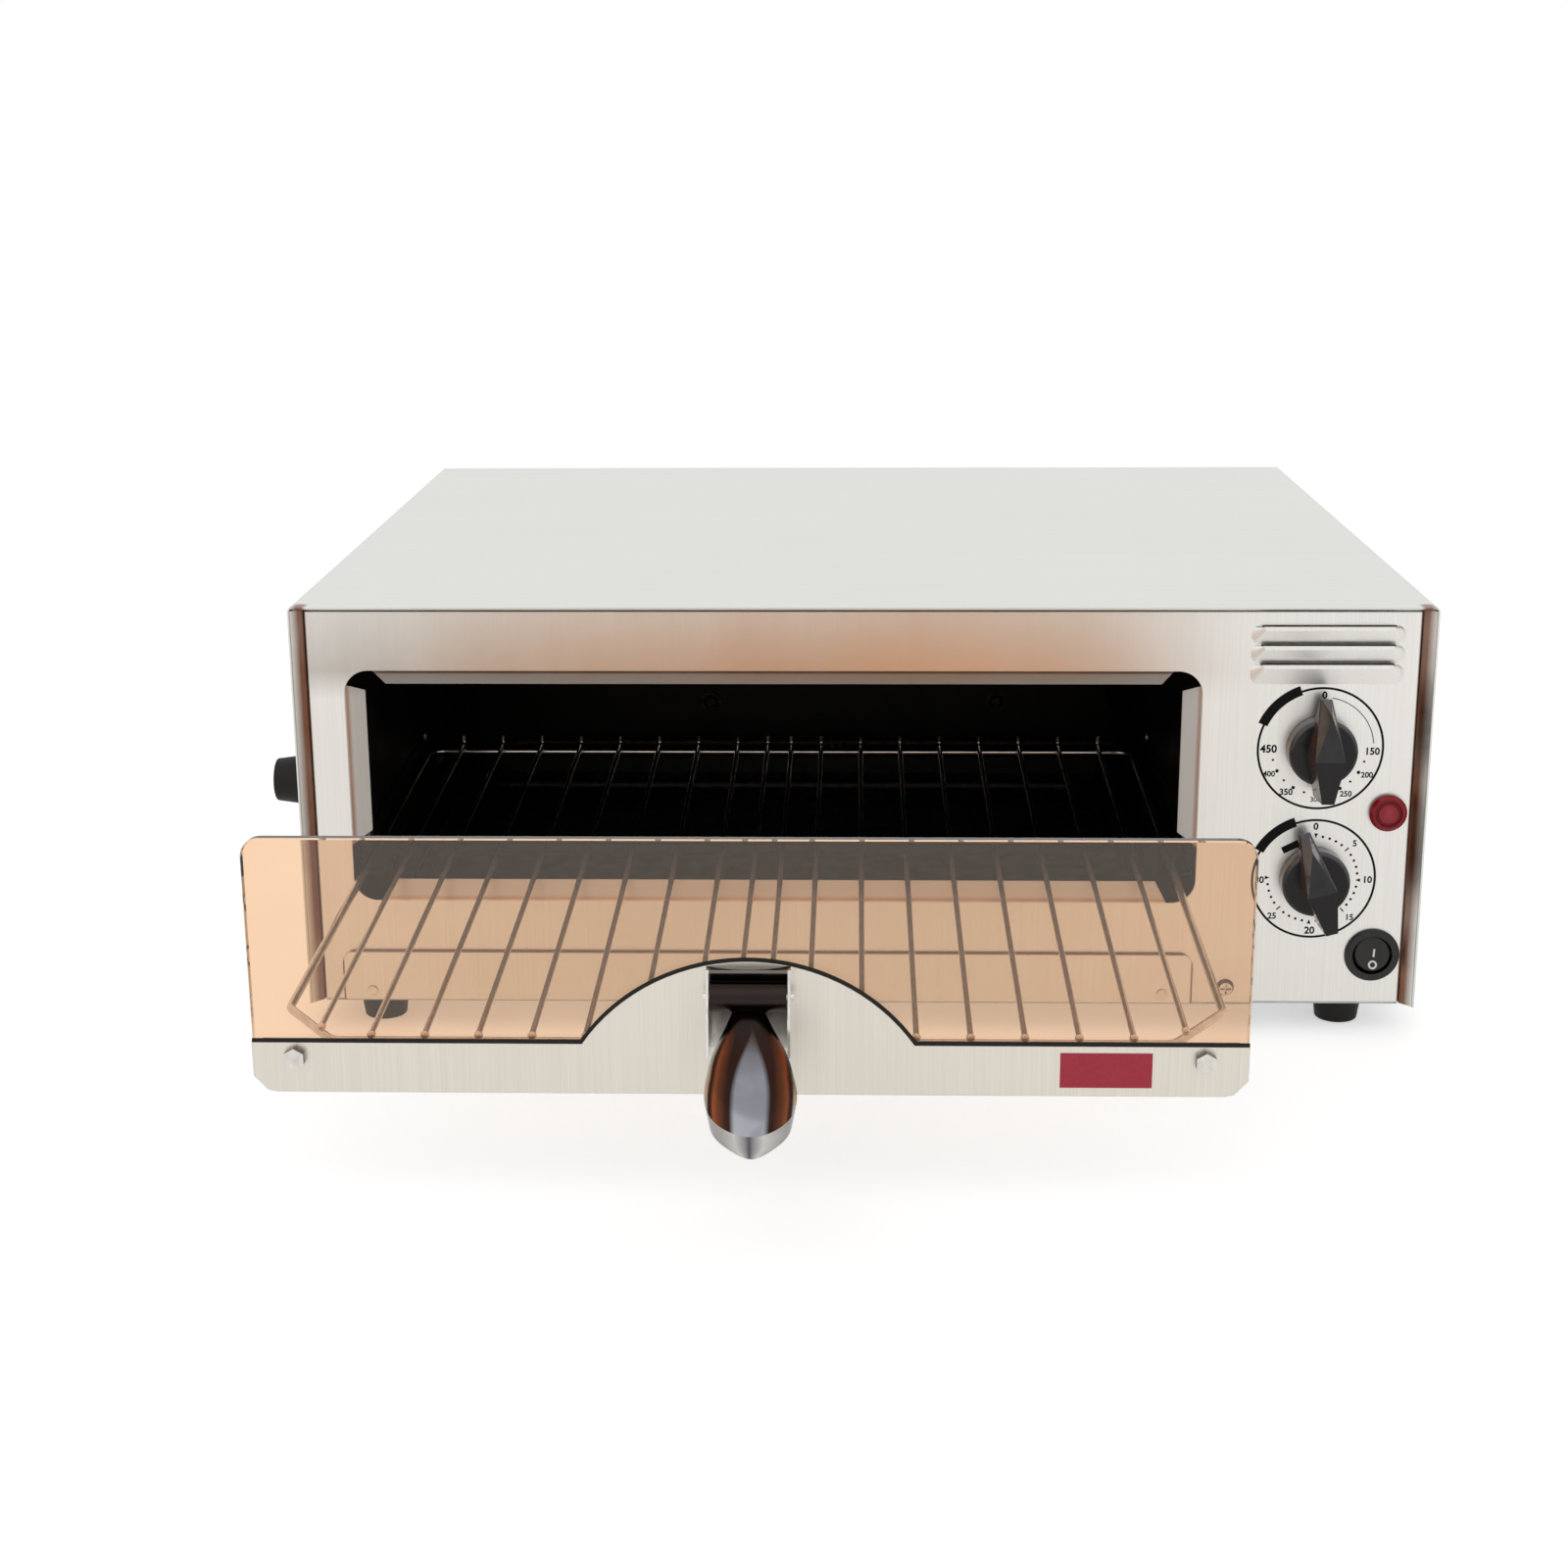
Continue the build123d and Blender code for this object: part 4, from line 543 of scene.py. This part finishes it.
def red_lens():
    """A moulded lens: a paler flat middle, a dark ring over the groove and a lighter ring near the rim, which is a
    painted highlight.
    """
    lens = Finish("red_lens", Transmission_Weight=0.2, IOR=1.3)
    low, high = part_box("lamp_lens")
    share = lens.rising(lens.radius_from((low + high) / 2), 0.0, (high.x - low.x) / 2)
    # The lighter ring near the rim, at 0.9 of the radius, is a painted highlight.
    lens.colour(lens.ramp(share, [(0.0, srgb(202, 74, 84)), (0.5, srgb(178, 46, 58)),
                                  (0.66, srgb(116, 14, 26)), (0.74, srgb(150, 34, 46)),
                                  (0.9, srgb(190, 40, 50)), (1.0, srgb(128, 10, 22))]))
    cloud = lens.noise(240.0)
    lens.tint(lens.spread(cloud, 0.0, 0.35), srgb(140, 20, 32))
    lens.roughness(lens.spread(cloud, 0.06, 0.16))
    lens.bump(lens.noise(900.0), LENS_RELIEF, 0.3)
    return lens


def film():
    """The blank sticker's printed film."""
    sheet = Finish("crimson_film", Specular_IOR_Level=0.5)
    grain = sheet.noise(900.0)
    sheet.mottled(grain, srgb(168, 22, 50), srgb(180, 30, 58))
    sheet.roughness(sheet.spread(sheet.noise(140.0), 0.28, 0.42))
    sheet.bump(grain, FINE_RELIEF, 0.3)
    return sheet


def mineral_wool():
    wool = Finish("mineral_wool", Specular_IOR_Level=0.15)
    fibres = wool.noise((900.0, 120.0, 900.0), detail=6.0, rough=0.7)
    wool.mottled(fibres, srgb(206, 196, 160), srgb(240, 234, 212))
    wool.roughness(wool.spread(fibres, 0.85, 0.98))
    wool.bump(fibres, WOOL_RELIEF, 0.8)
    return wool


def ink(name, tone):
    """Flat printing ink, a little paler in places."""
    print_coat = Finish(name, Specular_IOR_Level=0.12)
    grain = print_coat.noise(3000.0)
    paler = tuple(min(1.0, value * 1.25 + 0.004) for value in tone[:3]) + (1.0,)
    print_coat.mottled(grain, tone, paler)
    print_coat.roughness(print_coat.spread(grain, 0.6, 0.75))
    return print_coat


black_ink = ink("black_ink", srgb(9, 9, 9)).material
white_ink = ink("white_ink", srgb(232, 232, 230)).material
finish_of_slot = {
    "casing_steel": brushed("brushed_steel_upright", srgb(219, 214, 204), srgb(208, 202, 192), UPRIGHT_GRAIN),
    "zinc_steel": zinc_sheet(),
    "cavity_coat": coated_black(),
    "tray_steel": moulded("tray_coat", srgb(34, 31, 29), srgb(20, 18, 17), 0.35, 0.6, relief=0.03 * MM),
    "chrome_wire": plated("chrome_plate", srgb(226, 220, 214), srgb(202, 194, 186), 0.14, 0.24),
    "fastener_steel": plated("fastener_steel", srgb(220, 216, 208), srgb(186, 182, 174), 0.22, 0.38),
    "dark_screw": plated("dark_screw", srgb(66, 60, 55), srgb(40, 35, 31), 0.25, 0.45),
    "grip_black": dark_chrome(),
    "knob_black": knob_plastic(),
    "shaft_brass": plated("brass", srgb(214, 184, 112), srgb(184, 150, 82), 0.2, 0.38),
    "copper": plated("smoked_copper", srgb(64, 44, 34), srgb(36, 25, 20), 0.35, 0.5),
    "element_sheath": plated("element_sheath", srgb(62, 56, 52), srgb(38, 34, 31), 0.4, 0.62),
    "bead_ceramic": moulded("ceramic", srgb(240, 236, 226), srgb(222, 216, 204), 0.4, 0.6),
    "tinted_glass": bronze_glass(),
    "lamp_red": red_lens(),
    "lamp_white": moulded("white_plastic", srgb(236, 235, 228), srgb(222, 220, 212), 0.3, 0.45),
    "switch_black": moulded("switch_plastic", srgb(28, 26, 24), srgb(16, 15, 14), 0.3, 0.42,
                            relief=0.02 * MM, shine=0.4),
    "control_case": moulded("phenolic", srgb(224, 214, 188), srgb(204, 192, 162), 0.4, 0.6),
    "timer_case": plated("timer_plate", srgb(206, 204, 198), srgb(180, 178, 172), 0.3, 0.45),
    "blanket": mineral_wool(),
    "wire_sleeve": moulded("silicone", srgb(220, 212, 196), srgb(196, 188, 172), 0.5, 0.7),
    "foot_rubber": moulded("rubber", srgb(32, 29, 26), srgb(18, 16, 14), 0.5, 0.68,
                           relief=0.04 * MM, shine=0.25),
    "sticker_red": film(),
}
screw_heads = screw_steel()
finish_of_node = {
    "wrap_cover": cover_steel(),
    "front_panel": panel_steel(),
    "tray_flap": flap_steel(),
    "wire_rack": rack_wire(),
    "handle_bracket": bracket_chrome(),
    "door_bolts": screw_heads,
    "panel_screw": screw_heads,
    "tray_rivets": screw_heads,
    "casing_screws": screw_heads,
}
for name, node in nodes.items():
    finish = finish_of_node.get(name, finish_of_slot[slot_of[name]])
    node.data.materials.clear()
    node.data.materials.append(finish.material)


# ---------------------------------------------------------------- edges of the metalwork
CRISP_ANGLE = 38.0
EDGE_WIDTHS = {
    "thermostat_knob": 0.35 * MM,
    "timer_knob": 0.35 * MM,
    "door_glass": 0.35 * MM,
    "door_band": 0.2 * MM,
    "tray_flap": 0.15 * MM,
    "door_bolts": 0.35 * MM,
}


def soften(name, width):
    """A small round on the crisp edges of a CAD node, kept inside the node's own outline."""
    bevel = nodes[name].modifiers.new("edge_round", "BEVEL")
    bevel.width = width
    bevel.segments = 2
    bevel.limit_method = "ANGLE"
    bevel.angle_limit = math.radians(CRISP_ANGLE)
    bevel.harden_normals = True
    bevel.use_clamp_overlap = True


for name, width in EDGE_WIDTHS.items():
    soften(name, width)


# ---------------------------------------------------------------- meshes for printed marks
DOT_SIDES = 16
DIGIT_SHARE = 0.72                              # height of a figure as a share of its type size


def new_piece(name, mesh_builder, material, body):
    mesh = bpy.data.meshes.new(name)
    work = bmesh.new()
    mesh_builder(work)
    bmesh.ops.recalc_face_normals(work, faces=work.faces)
    work.to_mesh(mesh)
    work.free()
    mesh.materials.append(material)
    piece = scene_object(name, mesh)
    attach(piece, body)
    return piece


def shifted(x, z):
    """A move by millimetres across the panel."""
    return Matrix.Translation((x * MM, 0, z * MM))


def turned(degrees):
    """A clockwise turn on the panel."""
    return Matrix.Rotation(math.radians(degrees), 4, "Y")


def prism(work, outline, place, depth):
    """A closed flat plate: outline points (x, z) on the panel, depth towards the viewer."""
    front = [work.verts.new(place @ Vector((x, -depth, z))) for x, z in outline]
    back = [work.verts.new(place @ Vector((x, 0.0, z))) for x, z in outline]
    work.faces.new(front)
    work.faces.new(list(reversed(back)))
    for i in range(len(outline)):
        j = (i + 1) % len(outline)
        work.faces.new((front[j], front[i], back[i], back[j]))


def bar(work, place, half_width, low, high, depth):
    """An upright bar from low to high, to both sides of the place's middle line."""
    corners = [(-half_width, low), (half_width, low), (half_width, high), (-half_width, high)]
    prism(work, corners, place, depth)


def dial_point(radius, degrees):
    """A point on a dial, clockwise from the top."""
    turn = math.radians(degrees)
    return (radius * math.sin(turn), radius * math.cos(turn))


def band_of_ring(work, place, inner, outer, start, end, depth, step=3.0):
    """A stretch of ring between two angles, closed at its ends, or a whole ring."""
    count = max(2, int(abs(end - start) / step))
    whole = abs(end - start) >= 360.0
    sections = []
    for i in range(count if whole else count + 1):
        angle = start + (end - start) * i / count
        corners = []
        for radius in (inner, outer):
            x, z = dial_point(radius, angle)
            corners.append(work.verts.new(place @ Vector((x, 0.0, z))))
            corners.append(work.verts.new(place @ Vector((x, -depth, z))))
        sections.append(corners)
    for i in range(count):
        a = sections[i]
        b = sections[(i + 1) % len(sections)]
        for p, q in ((0, 1), (1, 3), (3, 2), (2, 0)):
            work.faces.new((a[p], a[q], b[q], b[p]))
    if not whole:
        for a in (sections[0], sections[-1]):
            work.faces.new((a[0], a[1], a[3], a[2]))


def dot(work, place, radius, degrees, size, depth):
    x, z = dial_point(radius, degrees)
    turns = [math.tau * i / DOT_SIDES for i in range(DOT_SIDES)]
    prism(work, [(x + size * math.cos(turn), z + size * math.sin(turn)) for turn in turns], place, depth)


def pointer_mark(work, place, radius, degrees, length, half_width, depth):
    """A small solid triangle on the dial that points to its centre."""
    tip, root = radius - length / 2, radius + length / 2
    prism(work, [(0, tip), (half_width, root), (-half_width, root)], place @ turned(degrees), depth)


def figure(work, place, words, x, z, height, depth, weight):
    """Upright plain figures centred on (x, z)."""
    curve = bpy.data.curves.new("figure", "FONT")
    curve.body = words
    curve.size = height / DIGIT_SHARE
    curve.offset = weight
    curve.extrude = depth / 2
    curve.align_x = "CENTER"
    curve.resolution_u = 4
    holder = scene_object("figure", curve)
    bpy.context.view_layer.update()
    mesh = bpy.data.meshes.new_from_object(holder.evaluated_get(bpy.context.evaluated_depsgraph_get()))
    stand = place @ Matrix.Translation((x, -depth / 2, z - height / 2)) @ Matrix.Rotation(math.pi / 2, 4, "X")
    mesh.transform(stand)
    work.from_mesh(mesh)
    bpy.data.objects.remove(holder)
    bpy.data.curves.remove(curve)
    bpy.data.meshes.remove(mesh)


# ---------------------------------------------------------------- dial prints
INK = 0.06 * MM
RING_R = 26.3 * MM
RING_LINE = 0.95 * MM
FIELD_INNER = 24.3 * MM                         # the blank black field across a dial's ring
FIELD_OUTER = 28.4 * MM
FIELD_INK = INK * 1.3
panel_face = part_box("control_nuts")[1].y

# Figures: words, then x and z from the dial's centre, height and added weight, all in millimetres.
THERMOSTAT_FIELD = (-67, -20)
THERMOSTAT_FIGURES = (("0", 0.6, 23.0, 3.0, 0.14), ("150", 21.5, -1.0, 3.0, 0.13),
                      ("200", 19.9, -11.2, 2.4, 0.09), ("250", 11.6, -19.4, 2.4, 0.09),
                      ("300", -0.9, -21.9, 2.1, 0.06), ("350", -13.3, -18.6, 2.7, 0.11),
                      ("400", -20.7, -10.8, 2.4, 0.09), ("450", -21.4, 0.0, 3.3, 0.15))
ARC_INNER = 21.8 * MM
ARC_OUTER = 22.15 * MM
ARC_ANGLES = (10, 84)
HEAT_DOTS = 11
HEAT_DOTS_R = 19.6 * MM
HEAT_DOTS_START = 106.5
HEAT_DOTS_STEP = 14.9
HEAT_DOTS_SHIFT = -0.4                          # millimetres to the right of the dial's middle
SMALL_DOT = 0.5 * MM
LARGE_DOT = 0.75 * MM

TIMER_FIELD = (-62, -19)
TIMER_FIGURES = (("0", 0.0, 23.2, 3.0, 0.13), ("5", 16.6, 15.8, 2.7, 0.1), ("10", 22.7, -0.2, 2.9, 0.13),
                 ("15", 16.1, -16.9, 2.6, 0.1), ("20", -0.4, -22.8, 3.1, 0.14),
                 ("25", -16.5, -16.4, 2.7, 0.1), ("30", -22.6, -0.4, 2.9, 0.13))
MINUTE = 9.0                                    # degrees
MINUTES_SHIFT = -0.3                            # millimetres to the right of the dial's middle
MINUTES_TURN = 1.5
MINUTE_DOT = 0.56 * MM
MINUTE_DOTS_R = 18.8 * MM
TICK_INNER = 17.8 * MM
TICK_OUTER = 20.0 * MM
TICK_HALF = 0.275 * MM
POINTER_R = 19.0 * MM
POINTER_LENGTH = 2.0 * MM
POINTER_HALF = 0.8 * MM
TIMER_PATCH_AT = (17.2 * MM, -31)               # radius and angle of the small blank black field
TIMER_PATCH_TURN = -27
TIMER_PATCH_HALF = (5.2 * MM, 1.5 * MM)


def dial_place(node):
    low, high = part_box(node)
    return Matrix.Translation(((low.x + high.x) / 2, panel_face, (low.z + high.z) / 2))


def dial_ground(work, place, field, entries):
    """What both dials share: the ring, the blank black field across it and the plain numbers."""
    band_of_ring(work, place, RING_R - RING_LINE, RING_R, 0, 360, INK)
    band_of_ring(work, place, FIELD_INNER, FIELD_OUTER, *field, FIELD_INK)
    for words, x, z, height, weight in entries:
        figure(work, place, words, x * MM, z * MM, height * MM, INK, weight * MM)


def thermostat_print(work):
    place = dial_place("thermostat_shaft")
    dial_ground(work, place, THERMOSTAT_FIELD, THERMOSTAT_FIGURES)
    band_of_ring(work, place, ARC_INNER, ARC_OUTER, *ARC_ANGLES, INK, step=2.0)
    scale = place @ shifted(HEAT_DOTS_SHIFT, 0)
    for i in range(HEAT_DOTS):
        size = LARGE_DOT if i % 2 else SMALL_DOT
        dot(work, scale, HEAT_DOTS_R, HEAT_DOTS_START + HEAT_DOTS_STEP * i, size, INK)


def timer_print(work):
    place = dial_place("timer_shaft")
    dial_ground(work, place, TIMER_FIELD, TIMER_FIGURES)
    scale = place @ shifted(MINUTES_SHIFT, 0) @ turned(MINUTES_TURN)
    for minutes in range(1, 30):
        if minutes % 5:
            dot(work, scale, MINUTE_DOTS_R, minutes * MINUTE, MINUTE_DOT, INK)
    for minutes in (5, 15, 25):
        bar(work, scale @ turned(minutes * MINUTE), TICK_HALF, TICK_INNER, TICK_OUTER, INK)
    for minutes in (0, 10, 20, 30):
        pointer_mark(work, scale, POINTER_R, minutes * MINUTE, POINTER_LENGTH, POINTER_HALF, INK)
    x, z = dial_point(*TIMER_PATCH_AT)
    half_width, half_height = TIMER_PATCH_HALF
    patch = place @ Matrix.Translation((x, 0, z)) @ turned(TIMER_PATCH_TURN)
    bar(work, patch, half_width, -half_height, half_height, INK)


new_piece("thermostat_dial_print", thermostat_print, black_ink, "casing")
new_piece("timer_dial_print", timer_print, black_ink, "casing")


# ---------------------------------------------------------------- marks on the rocker
ROCKER_FACE = 3.8 * MM
MARKS_RIGHT = 0.5 * MM
LINE_AT = (0.2, 0.4)                            # millimetres from the marks' middle
LINE_HALF = 0.4 * MM
LINE_REACH = 1.7 * MM
LINE_LEAN = 5
RING_MARK_AT = (-0.3, -4.7)
RING_MARK_INNER = 1.1 * MM
RING_MARK_OUTER = 1.9 * MM
rocker_joint = joints["switch_rock"]
rocker_tilt = math.radians(rocker_joint["range_deg"][1] / 2)


def rocker_marks(work):
    """The generic on and off marks, on the rocker's face as it stands at rest."""
    place = Matrix.Translation(rocker_joint["pos_m"]) @ Matrix.Rotation(-rocker_tilt, 4, "X")
    place = place @ Matrix.Translation((MARKS_RIGHT, -ROCKER_FACE, 0))
    bar(work, place @ shifted(*LINE_AT) @ turned(LINE_LEAN), LINE_HALF, -LINE_REACH, LINE_REACH, INK)
    band_of_ring(work, place @ shifted(*RING_MARK_AT), RING_MARK_INNER, RING_MARK_OUTER, 0, 360, INK, step=12)


new_piece("rocker_marks", rocker_marks, white_ink, "rocker")


# ---------------------------------------------------------------- dark bead between the band and the glass: a painted dark reflection
DOME_HALF = 59.5 * MM
DOME_RISE = 31.5 * MM
DARK_LINE_HEIGHT = 1.3 * MM
DARK_LINE_DEPTH = 0.8 * MM
ARCH_STEPS = 24                                 # to each side of the arch's top


def band_top_line(raise_by):
    """Points along the band's upper edge, straight at both ends and arched over the handle."""
    low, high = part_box("door_band")
    middle = (low.x + high.x) / 2
    shoulder = high.z - DOME_RISE
    radius = (DOME_HALF ** 2 + DOME_RISE ** 2) / (2 * DOME_RISE)
    centre = high.z - radius
    outer = radius + raise_by
    reach = math.acos((shoulder + raise_by - centre) / outer)
    arch = [reach * (i / ARCH_STEPS - 1) for i in range(2 * ARCH_STEPS + 1)]
    points = [(low.x, shoulder + raise_by)]
    points += [(middle + outer * math.sin(turn), centre + outer * math.cos(turn)) for turn in arch]
    return points + [(high.x, shoulder + raise_by)]


# A dark bead along the band's top edge against the glass, standing in for the dark reflection of that edge in the
# glass.
def dark_line_bead(work):
    inner = band_top_line(0.0)
    outer = band_top_line(DARK_LINE_HEIGHT)
    glass_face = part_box("door_glass")[0].y
    rings = []
    for (x0, z0), (x1, z1) in zip(inner, outer):
        corners = ((x0, glass_face, z0), (x0, glass_face - DARK_LINE_DEPTH, z0),
                   (x1, glass_face - DARK_LINE_DEPTH / 2, z1), (x1, glass_face, z1))
        rings.append([work.verts.new(corner) for corner in corners])
    for a, b in zip(rings, rings[1:]):
        for i in range(4):
            j = (i + 1) % 4
            work.faces.new((a[i], a[j], b[j], b[i]))
    work.faces.new(rings[0])
    work.faces.new(list(reversed(rings[-1])))


new_piece("band_edge_dark_line", dark_line_bead, finish_of_slot["foot_rubber"].material, "drawer")


# ---------------------------------------------------------------- camera
CAMERA_PLACE = Vector((3.74, -1066.6, 386.7)) * MM
CAMERA_PITCH = 15.754
CAMERA_YAW = -1.727
CAMERA_ROLL = -0.341
CAMERA_LENS = 55.75


def make_camera():
    pitch, yaw, roll = (math.radians(value) for value in (CAMERA_PITCH, CAMERA_YAW, CAMERA_ROLL))
    ahead = Vector((math.sin(yaw) * math.cos(pitch), math.cos(yaw) * math.cos(pitch), -math.sin(pitch)))
    level = Vector((math.cos(yaw), -math.sin(yaw), 0))
    upward = level.cross(ahead)
    right = level * math.cos(roll) + upward * math.sin(roll)
    above = upward * math.cos(roll) - level * math.sin(roll)
    data = bpy.data.cameras.new("camera")
    data.lens = CAMERA_LENS
    data.clip_start = 0.01
    data.clip_end = 50.0
    camera = scene_object("camera", data)
    camera.matrix_world = Matrix((right, above, -ahead)).transposed().to_4x4()
    camera.location = CAMERA_PLACE
    bpy.context.scene.camera = camera


make_camera()


# ---------------------------------------------------------------- stage and light
FLOOR_HALF = 6.0
FLOOR_GAP = 0.2 * MM
FLOOR_WHITE = (0.88, 0.88, 0.88, 1.0)
FLOOR_GLOW = 0.5
FAR_GLOW = 0.6
GLOW_CHANGES = (0.45, 1.0)                      # metres from the middle of the object
DIFFUSE_LEVEL = 0.55
LAMP_TARGET = (0.0, 0.0, 0.1)
LAMPS = (
    # name, place, size, power in watts
    ("key", (-0.9, -1.3, 1.7), (2.4, 2.4), 7.5),
    ("fill", (1.3, -1.0, 1.2), (2.2, 2.2), 2.6),
    ("back", (0.0, 1.2, 1.6), (2.2, 1.8), 1.6),
)


def white_when_seen(tree, strength):
    """The strength on camera, mirror and through-glass rays, for a background that shows as plain white."""
    rays = tree.nodes.new("ShaderNodeLightPath").outputs
    seen = maths_node(tree, "ADD", rays["Is Camera Ray"], rays["Is Glossy Ray"])
    seen = maths_node(tree, "ADD", seen, rays["Is Transmission Ray"])
    return maths_node(tree, "MULTIPLY", maths_node(tree, "MINIMUM", seen, 1.0), strength)


def make_floor():
    """A white floor that glows when it is seen, a little more away from the object."""
    half = FLOOR_HALF
    mesh = bpy.data.meshes.new("floor")
    level = cad_low.z - FLOOR_GAP
    mesh.from_pydata([(-half, -half, level), (half, -half, level), (half, half, level), (-half, half, level)],
                     [], [(0, 1, 2, 3)])
    floor = scene_object("floor", mesh)
    white = Finish("floor_white", Roughness=0.9, Specular_IOR_Level=0.0, Base_Color=FLOOR_WHITE)
    away = white.add("ShaderNodeVectorMath", operation="LENGTH")
    white.link(white.place, away.inputs[0])
    glow = white.add("ShaderNodeEmission")
    level_of_glow = white.spread(away.outputs["Value"], FLOOR_GLOW, FAR_GLOW, *GLOW_CHANGES)
    white.link(white.product(level_of_glow, white_when_seen(white.tree, 1.0)), glow.inputs["Strength"])
    both = white.add("ShaderNodeAddShader")
    white.link(white.shader.outputs["BSDF"], both.inputs[0])
    white.link(glow.outputs["Emission"], both.inputs[1])
    white.link(both.outputs["Shader"], white.output.inputs["Surface"])
    mesh.materials.append(white.material)


def make_world():
    """Soft white light from all round, and plain white where the background itself is seen."""
    world = bpy.data.worlds.new("studio")
    world.use_nodes = True
    bpy.context.scene.world = world
    tree = world.node_tree
    background = tree.nodes["Background"]
    background.inputs["Color"].default_value = (1.0, 1.0, 1.0, 1.0)
    strength = maths_node(tree, "ADD", white_when_seen(tree, 1.0 - DIFFUSE_LEVEL), DIFFUSE_LEVEL)
    tree.links.new(strength, background.inputs["Strength"])


def make_lamp(name, place, size, power):
    """A rectangular soft box that faces the object."""
    data = bpy.data.lights.new(name, "AREA")
    data.shape = "RECTANGLE"
    data.size, data.size_y = size
    data.energy = power
    lamp = scene_object(name, data)
    lamp.location = place
    lamp.rotation_mode = "QUATERNION"
    lamp.rotation_quaternion = (Vector(LAMP_TARGET) - Vector(place)).to_track_quat("-Z", "Y")


make_floor()
make_world()
for name, place, size, power in LAMPS:
    make_lamp(name, place, size, power)
bpy.context.scene.view_settings.view_transform = "Standard"
